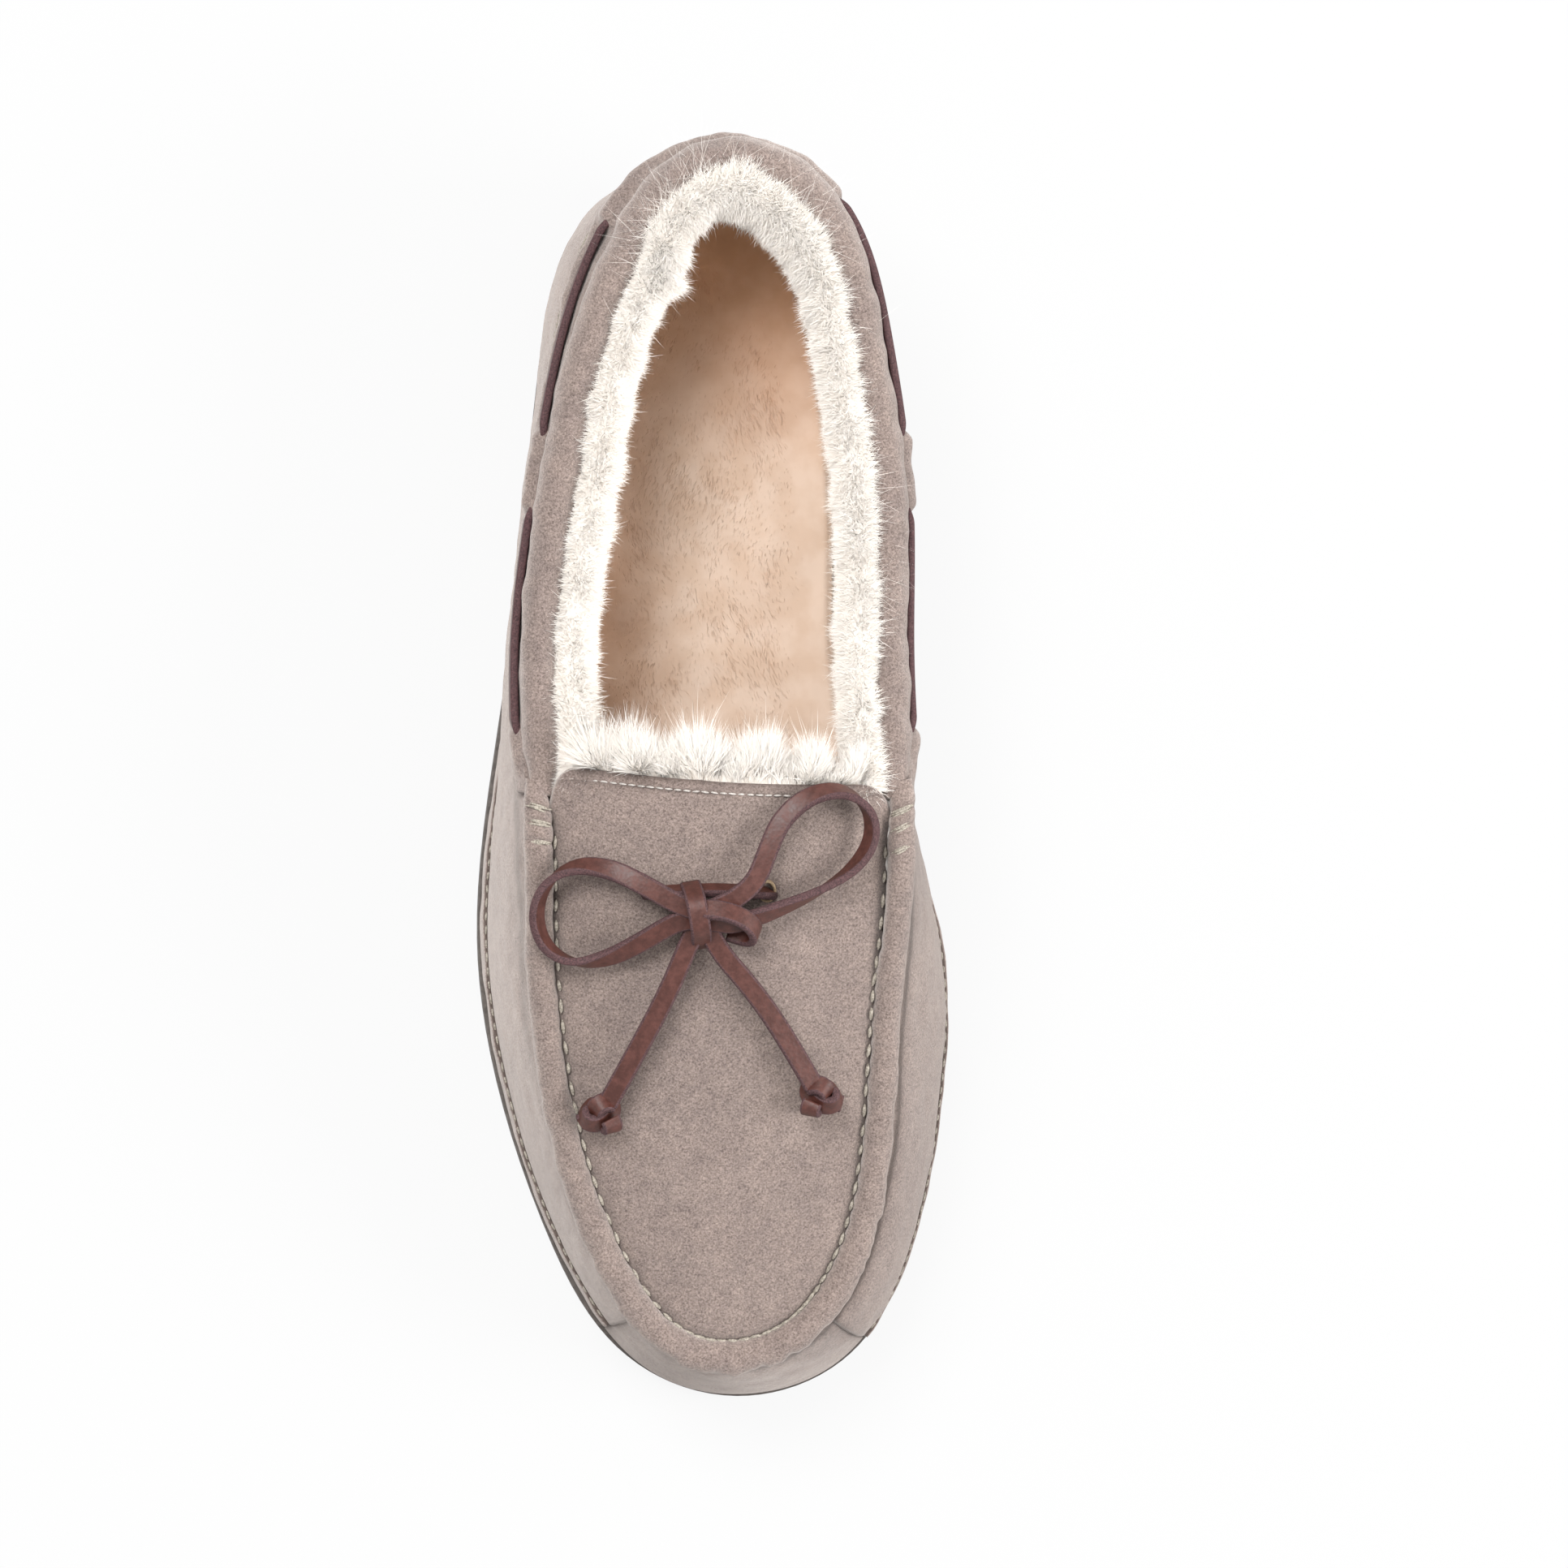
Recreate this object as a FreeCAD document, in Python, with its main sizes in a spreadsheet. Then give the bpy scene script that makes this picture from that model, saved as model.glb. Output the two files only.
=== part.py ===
"""Suede moccasin house slipper, right foot, shearling lined, with a leather lace tied in a bow.

Frame: millimetres, +Z up, toe towards -Y, heel towards +Y, big-toe side (medial) at +X.
The origin is under the middle of the slipper, on the floor.

The upper is described by rings that run once round the sole. A ring's parameter goes from 0 at the
heel, along the medial side, to 0.5 at the toe, and back along the lateral side to 1. Each ring is a
smooth closed curve through twenty stations.
"""
import FreeCAD, Part
import math
import os
from FreeCAD import Vector

os.makedirs("parts", exist_ok=True)
doc = FreeCAD.newDocument("slipper")

# ---------------------------------------------------------------- driving dimensions
DIMENSIONS = {
    "sole_length": 245.4, "ball_width": 93.7,
    "outsole_thick": 4.0, "outsole_proud": 0.4, "groove_depth": 1.5, "groove_width": 3.0,
    "groove_length": 50.0, "groove_pitch": 13.0, "groove_count": 15, "groove_first": -96.0,
    "board_thick": 1.8, "foam_thick": 6.2, "fleece_thick": 5.8, "layer_gap": 0.2,
    "filler_inset": 3.4, "fleece_inset": 11.8,
    "foxing_thick": 2.2, "foxing_top": 12.8,
    "suede": 1.4, "lining_near": 2.8, "lining_far": 8.8, "counter_thick": 1.0,
    "tongue_height": 67.5, "plug_slope": 0.2, "plug_dive": 0.00085, "plug_crown": 0.006,
    "plug_axis": -3.0, "roll_radius": 2.9, "roll_wall": 1.3, "plug_clearance": 0.2,
    "vamp_wool_near": 1.7, "vamp_wool_far": 7.0,
    "cuff_centre": -1.3, "cuff_half": 4.3, "cuff_rise": 5.0, "cuff_wall": 1.3,
    "wool_centre": -10.1, "wool_half": 4.1, "wool_rise": 7.5, "wool_base": -7.0,
    "lace_width": 4.6, "lace_thick": 1.5, "hole_radius": 2.4, "hole_medial": 6.7,
    "hole_lateral": -16.1, "hole_row": -23.7,
    "knot_long": 11.6, "knot_wide": 10.6, "knot_tall": 6.2, "knot_row": -27.8, "knot_middle": -6.5,
    "tail_knot": 7.0, "thread": 0.45, "stitch_length": 2.4,
}
sheet = doc.addObject("Spreadsheet::Sheet", "sheet")
for row, (alias, value) in enumerate(DIMENSIONS.items(), start=1):
    sheet.set(f"A{row}", alias)
    sheet.set(f"B{row}", str(value))
    sheet.setAlias(f"B{row}", alias)
doc.recompute()


def size(alias):
    """A driving dimension, read from the sheet."""
    return float(sheet.get(alias))


# ---------------------------------------------------------------- rings round the slipper
OUTLINE = [
    (-4, 119.2), (19.5, 109.5), (29.5, 84), (33, 54), (33.3, 24), (38.7, -6), (47, -36), (46.8, -66),
    (41.2, -95), (28, -118.3), (6, -126.4), (-16.5, -118.3), (-32.8, -93), (-42, -66), (-46.7, -36),
    (-44.7, -6), (-40.3, 24), (-37.2, 54), (-34, 84), (-27, 108.8),
]
TOP_INSET = [-3, -1, 1, 0, 0, 5.1, 14.7, 15.8, 13.8, 12.9, 9.6, 7.2, 7, 8.1, 9.1, 6.2, 1, 1.5, 4,
             6.5]
BULGE = [-5, -5, -5, -5, -4, -1, 1.5, 1.5, 1.5, 1.5, 1.5, 1.5, 1.5, 1.5, 1, -2, -5, -5, -5, -5.5]
COLLAR_HEIGHT = {0: 62, 1: 60, 2: 55, 3: 51, 4: 52, 16: 52, 17: 51, 18: 55, 19: 60}
STATIONS = len(OUTLINE)
SCALE_Y = size("sole_length") / 245.4
SCALE_X = size("ball_width") / 93.7
FRONT_START = 0.25
FRONT_END = 0.75


def ring(values):
    """Controls of the closed cubic B-spline that passes through the values at the stations."""
    controls = list(values)
    for _ in range(40):
        middle = [(controls[i - 1] + 4 * controls[i] + controls[(i + 1) % STATIONS]) / 6
                  for i in range(STATIONS)]
        controls = [c + v - m for c, v, m in zip(controls, values, middle)]
    return controls


def along(controls, u):
    """The closed B-spline's value at ring parameter u."""
    place = (u % 1.0) * STATIONS
    i = int(place)
    t = place - i
    weights = ((1 - t) ** 3, 3 * t ** 3 - 6 * t ** 2 + 4, -3 * t ** 3 + 3 * t ** 2 + 3 * t + 1, t ** 3)
    return sum(w * controls[(i - 1 + k) % STATIONS] for k, w in enumerate(weights)) / 6


def mix(start, end, t):
    return start + (end - start) * t


def bezier(a, b, c, d, t):
    """Cubic Bezier value."""
    return a * (1 - t) ** 3 + 3 * b * t * (1 - t) ** 2 + 3 * c * t ** 2 * (1 - t) + d * t ** 3


def plug_height(x, y):
    """Outside of the plug: it falls towards the toe, faster and faster, and is crowned across."""
    across = x - size("plug_axis")
    return (size("tongue_height") + size("plug_slope") * y - size("plug_dive") * y ** 2
            - size("plug_crown") * across ** 2)


outline_x = ring([x * SCALE_X for x, y in OUTLINE])
outline_y = ring([y * SCALE_Y for x, y in OUTLINE])
top_inset = ring(TOP_INSET)
bulge = ring(BULGE)


def outline(u, inset=0.0):
    """Plan point on the sole's outline, moved inwards by inset."""
    step = 0.002
    dx = along(outline_x, u + step) - along(outline_x, u - step)
    dy = along(outline_y, u + step) - along(outline_y, u - step)
    length = math.hypot(dx, dy)
    inward = Vector(dy / length, -dx / length, 0)
    point = Vector(along(outline_x, u), along(outline_y, u), 0) + inward * inset
    return point, inward


def station_height(i):
    """Height of the wall's top at a station: the collar behind, the edge of the plug in front."""
    if i in COLLAR_HEIGHT:
        return COLLAR_HEIGHT[i]
    point, _ = outline(i / STATIONS, TOP_INSET[i])
    return plug_height(point.x, point.y)


top_height = ring([station_height(i) for i in range(STATIONS)])


def wall_at(u, v, foot_inset=1.0, foot_height=None):
    """Outside of the upper's wall: v is 0 at the foxing and 1 at the top."""
    foot = size("foxing_top") + size("layer_gap") if foot_height is None else foot_height
    top = along(top_height, u)
    edge = along(top_inset, u)
    swell = along(bulge, u)
    inset = bezier(foot_inset, swell, mix(swell, edge, 0.45), edge, v)
    point, _ = outline(u, inset)
    rise = top - foot
    point.z = bezier(foot, foot + 0.4 * rise, foot + 0.9 * rise, top, v)
    return point


def wall(u, v, offset=0.0, foot_inset=1.0, foot_height=None):
    """The wall's outside moved outwards along its own normal by offset."""
    step = 0.004
    low = max(v - step, 0.0)
    high = min(v + step, 1.0)
    du = (wall_at(u + step, v, foot_inset, foot_height)
          - wall_at(u - step, v, foot_inset, foot_height))
    dv = wall_at(u, high, foot_inset, foot_height) - wall_at(u, low, foot_inset, foot_height)
    normal = dv.cross(du)
    normal.normalize()
    return wall_at(u, v, foot_inset, foot_height) + normal * offset


def top_edge(u, outwards=0.0, up=0.0):
    """A point beside the wall's top, outwards in plan and up."""
    point, inward = outline(u, along(top_inset, u))
    point.z = along(top_height, u) + up
    return point - inward * outwards


# ---------------------------------------------------------------- solids
def slab(outer, inner, columns, rows):
    """Closed solid between two surfaces, each a function of two parameters from 0 to 1."""
    faces = []
    borders = []
    for surface_at in (outer, inner):
        grid = [[surface_at(i / columns, j / rows) for j in range(rows + 1)]
                for i in range(columns + 1)]
        surface = Part.BSplineSurface()
        surface.interpolate(grid)
        u_low, u_high, v_low, v_high = surface.bounds()
        faces.append(surface.toShape())
        borders.append([surface.uIso(u_low), surface.uIso(u_high),
                        surface.vIso(v_low), surface.vIso(v_high)])
    sides = []
    for first, second in zip(borders[0], borders[1]):
        ends = [Part.Wire([first.toShape()]), Part.Wire([second.toShape()])]
        sides += Part.makeLoft(ends, False, True).Faces
    shell = Part.Shell(faces + sides)
    shell.sewShape()
    body = Part.Solid(shell)
    if body.Volume < 0:
        body.reverse()
    return body


def feature(label, shape):
    """A document object that holds a worked-out shape."""
    item = doc.addObject("Part::Feature", label)
    item.Shape = shape
    item.Label = label
    item.Placement = FreeCAD.Placement()
    return item


pieces = {}


def piece(label, shape):
    pieces[label] = feature(label, shape)


def wall_patch(label, u_range, v_range, near, far, columns, rows=6, **foot):
    """A panel that follows the wall, from offset near to offset far."""
    def surface(offset):
        def point(a, b):
            v = mix(v_range[0], v_range[1], b)
            return wall(mix(u_range[0], u_range[1], a), v, offset, **foot)
        return point
    piece(label, slab(surface(near), surface(far), columns, rows))


# ---------------------------------------------------------------- sole: padded outlines
def padded_outline(label, inset, base, thickness):
    """A body padded from the sole's outline, moved inwards by inset, standing at height base."""
    body = doc.addObject("PartDesign::Body", label)
    body.Label = label
    plane = next(f for f in body.Origin.OriginFeatures if f.Role == "XY_Plane")
    sketch = body.newObject("Sketcher::SketchObject", label + "_outline")
    sketch.AttachmentSupport = [(plane, "")]
    sketch.MapMode = "FlatFace"
    sketch.setExpression("AttachmentOffset.Base.z", base)
    curve = Part.BSplineCurve()
    points = [outline(i / STATIONS, inset)[0] for i in range(STATIONS)]
    curve.interpolate(Points=points, PeriodicFlag=True)
    sketch.addGeometry(curve, False)
    doc.recompute()
    pad = body.newObject("PartDesign::Pad", label + "_pad")
    pad.Profile = sketch
    pad.setExpression("Length", thickness)
    doc.recompute()
    pieces[label] = body
    return body


outsole = padded_outline("outsole", -size("outsole_proud"), "0 mm", "sheet.outsole_thick")
solid_sole_volume = outsole.Shape.Volume
groove = outsole.newObject("Sketcher::SketchObject", "groove_outline")
groove.AttachmentSupport = [(next(f for f in outsole.Origin.OriginFeatures
                                  if f.Role == "XY_Plane"), "")]
groove.MapMode = "FlatFace"
half_long = size("groove_length") / 2
low_y = size("groove_first")
high_y = low_y + size("groove_width")
corners = [Vector(-half_long, low_y, 0), Vector(half_long, low_y, 0),
           Vector(half_long, high_y, 0), Vector(-half_long, high_y, 0)]
for start, end in zip(corners, corners[1:] + corners[:1]):
    groove.addGeometry(Part.LineSegment(start, end), False)
doc.recompute()
groove_cut = outsole.newObject("PartDesign::Pocket", "groove")
groove_cut.Profile = groove
groove_cut.Reversed = True
groove_cut.setExpression("Length", "sheet.groove_depth")
doc.recompute()
tread = outsole.newObject("PartDesign::LinearPattern", "tread")
tread.Originals = [groove_cut]
tread.Direction = (groove, ["V_Axis"])
tread.Length = size("groove_pitch") * (size("groove_count") - 1)
tread.setExpression("Occurrences", "sheet.groove_count")
outsole.Tip = tread
doc.recompute()
groove_volume = size("groove_length") * size("groove_width") * size("groove_depth")
removed = solid_sole_volume - outsole.Shape.Volume
print("tread removes", round(removed), "of", round(groove_volume * size("groove_count")), "mm3")

padded_outline("insole_board", size("filler_inset"), "sheet.outsole_thick + sheet.layer_gap",
               "sheet.board_thick")
padded_outline("footbed_foam", size("filler_inset"),
               "sheet.outsole_thick + sheet.board_thick + 2 * sheet.layer_gap",
               "sheet.foam_thick")
padded_outline("insole_fleece", size("fleece_inset"),
               "sheet.outsole_thick + sheet.board_thick + sheet.foam_thick + 3 * sheet.layer_gap",
               "sheet.fleece_thick")

# ---------------------------------------------------------------- upper
TOE_CAP = (0.447, 0.563)
SEAM_GAP = 0.0012
base_of_foxing = size("outsole_thick") + size("layer_gap")


def foxing_surface(inset):
    def point(a, b):
        u = mix(TOE_CAP[1] + SEAM_GAP, 1 + TOE_CAP[0] - SEAM_GAP, a)
        place, _ = outline(u, inset)
        place.z = mix(base_of_foxing, size("foxing_top"), b)
        return place
    return point


piece("foxing_band", slab(foxing_surface(0), foxing_surface(size("foxing_thick")), 60, 3))
wall_patch("toe_cap", TOE_CAP, (0, 0.97), 0, -size("suede"), 16, foot_inset=0,
           foot_height=base_of_foxing)
wall_patch("quarter_medial", (SEAM_GAP, TOE_CAP[0] - SEAM_GAP), (0, 0.97), 0, -size("suede"), 36)
wall_patch("quarter_lateral", (TOE_CAP[1] + SEAM_GAP, 1 - SEAM_GAP), (0, 0.97), 0,
           -size("suede"), 36)
counter_near = size("suede") + size("layer_gap")
wall_patch("heel_counter", (-0.11, 0.11), (0.05, 0.6), -counter_near,
           -counter_near - size("counter_thick"), 16)
wall_patch("lining_quarters", (-FRONT_START, FRONT_START), (0.02, 0.71), -size("lining_near"),
           -size("lining_far"), 40)
wall_patch("lining_forefoot", (FRONT_START + SEAM_GAP, FRONT_END - SEAM_GAP), (0.02, 0.6),
           -size("lining_near"), -size("lining_far"), 40)


def roll_surface(radius):
    def point(a, b):
        u = mix(FRONT_START - 0.002, FRONT_END + 0.002, a)
        turn = math.radians(mix(-6, 188, b))
        return top_edge(u, radius * math.cos(turn), radius * math.sin(turn))
    return point


piece("apron_roll", slab(roll_surface(size("roll_radius")),
                         roll_surface(size("roll_radius") - size("roll_wall")), 44, 8))

# ---------------------------------------------------------------- plug and its wool
TONGUE_MEDIAL = Vector(27.6, -2.6, 0)
TONGUE_MIDDLE = Vector(-3.2, -1.6, 0)
TONGUE_LATERAL = Vector(-34.0, 0.6, 0)


def plug_blank(inset, shorter, depth_near, depth_far):
    """The plug's plan, cut out of a layer that follows the plug's surface from near to far."""
    count = 22
    first = FRONT_START + 0.004
    last = FRONT_END - 0.004
    edge = []
    for i in range(count + 1):
        point = top_edge(mix(first, last, i / count), -inset)
        point.z = 0
        edge.append(point)
    side = Part.BSplineCurve()
    side.interpolate(edge)
    back = Vector(0, -shorter, 0)
    narrower = Vector(inset - size("roll_radius"), 0, 0)
    corner_a = TONGUE_LATERAL + back + narrower
    corner_b = TONGUE_MEDIAL + back - narrower
    rear = Part.Arc(corner_a, TONGUE_MIDDLE + back, corner_b)
    plan = Part.Wire([side.toShape(), Part.LineSegment(edge[-1], corner_a).toShape(),
                      rear.toShape(), Part.LineSegment(corner_b, edge[0]).toShape()])
    column = Part.Face(plan).extrude(Vector(0, 0, 100))

    def layer(depth):
        def point(a, b):
            x = mix(-60, 60, a)
            y = mix(-140, 20, b)
            return Vector(x, y, plug_height(x, y) - depth)
        return point
    return column.common(slab(layer(depth_near), layer(depth_far), 10, 10))


plug_inset = size("roll_radius") + size("plug_clearance")
plug_solid = feature("plug_blank", plug_blank(plug_inset, 0, 0, size("suede")))
lace_holes = []
for name, cell in (("medial", "hole_medial"), ("lateral", "hole_lateral")):
    hole = doc.addObject("Part::Cylinder", "lace_hole_" + name)
    hole.setExpression("Radius", "sheet.hole_radius")
    hole.setExpression("Height", "100 mm")
    hole.setExpression("Placement.Base.x", "sheet." + cell)
    hole.setExpression("Placement.Base.y", "sheet.hole_row")
    lace_holes.append(hole)
doc.recompute()
holes = doc.addObject("Part::MultiFuse", "lace_holes")
holes.Shapes = lace_holes
plug = doc.addObject("Part::Cut", "vamp_plug")
plug.Base = plug_solid
plug.Tool = holes
plug.Label = "vamp_plug"
pieces["vamp_plug"] = plug
piece("lining_vamp", plug_blank(plug_inset + 4, 4, size("vamp_wool_near"), size("vamp_wool_far")))


def tongue_wool_surface(reach):
    """Wool along the tongue's edge, standing just behind it."""
    def point(a, b):
        x = mix(TONGUE_LATERAL.x + 13, TONGUE_MEDIAL.x - 11, a)
        y = mix(TONGUE_LATERAL.y, TONGUE_MEDIAL.y, a) + 1.8 + reach
        return Vector(x, y, plug_height(x, 0) + mix(-8, 2.5, b))
    return point


piece("tongue_wool", slab(tongue_wool_surface(0), tongue_wool_surface(5.0), 10, 3))

# ---------------------------------------------------------------- collar
COLLAR = (-0.241, 0.241)
WOOL = (-0.231, 0.231)


def cuff_surface(shrink):
    """The rolled cuff: a skirt that lies on the quarter, then a half round over the top edge."""
    skirt_share = 0.4

    def point(a, b):
        u = mix(COLLAR[0], COLLAR[1], a)
        if b < skirt_share:
            return wall(u, mix(0.7, 0.93, b / skirt_share), 1.6 - shrink)
        turn = math.pi * (b - skirt_share) / (1 - skirt_share)
        return top_edge(u, size("cuff_centre") + (size("cuff_half") - shrink) * math.cos(turn),
                        (size("cuff_rise") - shrink) * math.sin(turn))
    return point


piece("collar_cuff", slab(cuff_surface(0), cuff_surface(size("cuff_wall")), 60, 15))


def wool_surface(top):
    def point(a, b):
        u = mix(WOOL[0], WOOL[1], a)
        turn = math.pi * mix(0.03, 0.97, b)
        outwards = size("wool_centre") + size("wool_half") * math.cos(turn)
        rise = size("wool_base") + (4 + size("wool_rise") * math.sin(turn) if top else 0)
        return top_edge(u, outwards, rise)
    return point


piece("collar_wool", slab(wool_surface(True), wool_surface(False), 60, 8))

LACE_V = (0.775, 0.875)
wall_patch("collar_lace", COLLAR, LACE_V, 1.8 + size("lace_thick"), 1.8, 60, 3)
CASING = [(-0.241, -0.228), (-0.152, -0.13), (-0.045, 0.045), (0.13, 0.152), (0.228, 0.241)]
tunnels = []
for start, end in CASING:
    def tunnel(offset):
        return lambda a, b: wall(mix(start, end, a), mix(0.74, 0.91, b), offset)
    lace_top = 1.8 + size("lace_thick") + 0.2
    tunnels.append(slab(tunnel(lace_top + 1.2), tunnel(lace_top), 8, 3))
piece("collar_casing", Part.makeCompound(tunnels))


# ---------------------------------------------------------------- threads
def stitch(middle, direction, length, radius):
    """One straight stitch of thread, centred on a point."""
    unit = Vector(direction)
    unit.normalize()
    return Part.makeCylinder(radius, length, middle - unit * (length / 2), unit)


def stitch_row(label, place, count, length=None, radius=None):
    """A seam: separate stitches along a path given as a function from 0 to 1."""
    run = []
    for i in range(count):
        t = (i + 0.5) / count
        direction = place(min(t + 0.002, 1)) - place(max(t - 0.002, 0))
        run.append(stitch(place(t), direction, length or size("stitch_length"),
                          radius or size("thread")))
    piece(label, Part.makeCompound(run))


def apron_seam(t):
    u = mix(FRONT_START + 0.01, FRONT_END - 0.01, t)
    point = top_edge(u, -size("roll_radius") - 0.9)
    point.z = plug_height(point.x, point.y) + size("thread") + 0.25
    return point


def tongue_seam(t):
    x = mix(TONGUE_LATERAL.x + 5, TONGUE_MEDIAL.x - 5, t)
    y = mix(TONGUE_LATERAL.y, TONGUE_MEDIAL.y, t) - 2.4
    return Vector(x, y, plug_height(x, y) + size("thread") + 0.15)


def foxing_seam(t):
    point, _ = outline(mix(TOE_CAP[1] + 0.01, 1 + TOE_CAP[0] - 0.01, t), 0.35)
    point.z = size("foxing_top") + size("thread") * 0.9
    return point


def cuff_seam(t):
    return wall(mix(-0.23, 0.23, t), 0.672, 0.5)


def back_seam(t):
    return wall(0, mix(0.05, 0.6, t), 0.35)


stitch_row("apron_stitching", apron_seam, 70)
stitch_row("tongue_topstitch", tongue_seam, 24, length=1.7, radius=0.3)
stitch_row("foxing_stitching", foxing_seam, 120, radius=0.35)
stitch_row("cuff_stitching", cuff_seam, 80, radius=0.3)
stitch_row("back_seam_stitching", back_seam, 8, radius=0.3)

for label, sign, places in (("bar_tacks_medial", 1, (0.2505, 0.2555, 0.262)),
                            ("bar_tacks_lateral", -1, (0.2505, 0.2555, 0.262))):
    tacks = []
    for place in places:
        u = place if sign > 0 else 1 - place
        tacks.append(stitch(top_edge(u, 0, size("roll_radius") + 0.7),
                            top_edge(u, 1) - top_edge(u, 0), 5.0, 0.6))
    piece(label, Part.makeCompound(tacks))


# ---------------------------------------------------------------- bow
def tube(label, route):
    """A plain round cord along straight runs joined by tangent arcs."""
    points = [Vector(*p) for p in route]
    edges = []
    radii = []
    last = points[0]
    for before, corner, after in zip(points, points[1:], points[2:]):
        arrive = corner - before
        leave = after - corner
        turn = arrive.getAngle(leave)
        cut = 0.45 * min(arrive.Length, leave.Length)
        radii.append(cut / math.tan(turn / 2))
        arrive.normalize()
        leave.normalize()
        start = corner - arrive * cut
        end = corner + leave * cut
        inside = leave - arrive
        inside.normalize()
        bow_out = radii[-1] * (1 / math.cos(turn / 2) - 1)
        edges.append(Part.LineSegment(last, start).toShape())
        edges.append(Part.Arc(start, corner + inside * bow_out, end).toShape())
        last = end
    edges.append(Part.LineSegment(last, points[-1]).toShape())
    path = Part.Wire(edges)
    radius = size("lace_width") / 2
    heading = points[1] - points[0]
    profile = Part.Wire([Part.Circle(points[0], heading, radius).toShape()])
    solid = path.makePipeShell([profile], True, False)
    expected = math.pi * radius ** 2 * path.Length
    print(label, "length", round(path.Length, 1), "radii", [round(r, 1) for r in radii],
          "volume", round(solid.Volume), "of", round(expected))
    piece(label, solid)


knot_top = plug_height(size("knot_middle"), size("knot_row")) + size("lace_thick") + 1.9
knot = doc.addObject("Part::Box", "bow_knot_block")
knot.setExpression("Length", "sheet.knot_wide")
knot.setExpression("Width", "sheet.knot_long")
knot.setExpression("Height", "sheet.knot_tall")
knot.Placement.Base = Vector(size("knot_middle") - size("knot_wide") / 2,
                             size("knot_row") - size("knot_long") / 2, knot_top)
doc.recompute()
rounded = doc.addObject("Part::Fillet", "bow_knot")
rounded.Base = knot
rounded.Edges = [(i, 1.2, 1.2) for i in range(1, 13)]
rounded.Label = "bow_knot"
pieces["bow_knot"] = rounded


def bridge_surface(lift):
    """The lace between its two holes, lying on the plug."""
    def point(a, b):
        x = mix(size("hole_lateral"), size("hole_medial"), a)
        y = size("hole_row") + mix(-0.5, 0.5, b) * size("lace_width")
        return Vector(x, y, plug_height(x, y) + lift)
    return point


piece("lace_bridge", slab(bridge_surface(0.2 + size("lace_thick")), bridge_surface(0.2), 8, 3))

LOOP_LATERAL = [
    (-13.2, -25.2, 66.8), (-18.4, -22.2, 66.2), (-24.5, -19.2, 64.8), (-31.5, -18.4, 63.3),
    (-37.2, -21.8, 62), (-39.4, -28.2, 60.9), (-37.4, -34.8, 59.8), (-31.5, -38.2, 58.6),
    (-24.5, -37, 60), (-18.4, -33.8, 62.8), (-13.2, -30.5, 65.8),
]
LOOP_MEDIAL = [
    (0.5, -24.8, 67.4), (4.2, -21.4, 67.5), (6.4, -15.4, 67.6), (9, -9.4, 67.6), (14.5, -4.6, 68.2),
    (21.3, -3.4, 67.2), (26.8, -7.2, 65.4), (27.6, -13.6, 64), (23.8, -19.4, 63.2),
    (17, -23.8, 63.6), (8.5, -27.4, 65), (0.2, -30.2, 66.4),
]
TAIL_LATERAL = [(-9.4, -34.8, 64.2), (-12.8, -43.4, 61.6), (-18.2, -54.4, 57.6),
                (-24.2, -65.8, 52.6)]
TAIL_MEDIAL = [(-3.6, -34.9, 64.2), (3.4, -42.6, 61.6), (10, -51.4, 58.2), (16.6, -62.4, 54.2)]
tube("loop_lateral", LOOP_LATERAL)
tube("loop_medial", LOOP_MEDIAL)
tube("tail_lateral", TAIL_LATERAL)
tube("tail_medial", TAIL_MEDIAL)
for label, route in (("tail_knot_lateral", TAIL_LATERAL), ("tail_knot_medial", TAIL_MEDIAL)):
    end = Vector(*route[-1])
    heading = end - Vector(*route[-2])
    heading.normalize()
    knot_radius = size("tail_knot") / 2
    piece(label, Part.makeCylinder(knot_radius, size("tail_knot"), end, heading))

# ---------------------------------------------------------------- checks and files
doc.recompute()
for item in doc.Objects:
    if "Invalid" in item.State or "Error" in item.State:
        raise RuntimeError(f"{item.Label} failed: {item.State}")
whole = FreeCAD.BoundBox()
for label, item in pieces.items():
    shape = item.Shape
    if shape.isNull() or not shape.isValid() or shape.Volume <= 0:
        raise RuntimeError(f"{label} has no valid shape")
    whole.add(shape.BoundBox)
for label, item in pieces.items():
    item.Shape.exportStep(f"parts/{label}.step")
print(len(pieces), "nodes, box", [round(n, 2) for n in (whole.XMin, whole.XMax, whole.YMin,
                                                        whole.YMax, whole.ZMin, whole.ZMax)])
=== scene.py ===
# %% [markdown]
# # A moccasin house slipper of suede, shearling and lace leather
# The slipper was designed first as an assembly of plain solids, and this file dresses it. Every piece
# goes exactly where its solid is, so the design is loaded before anything else and is never moved.

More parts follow.
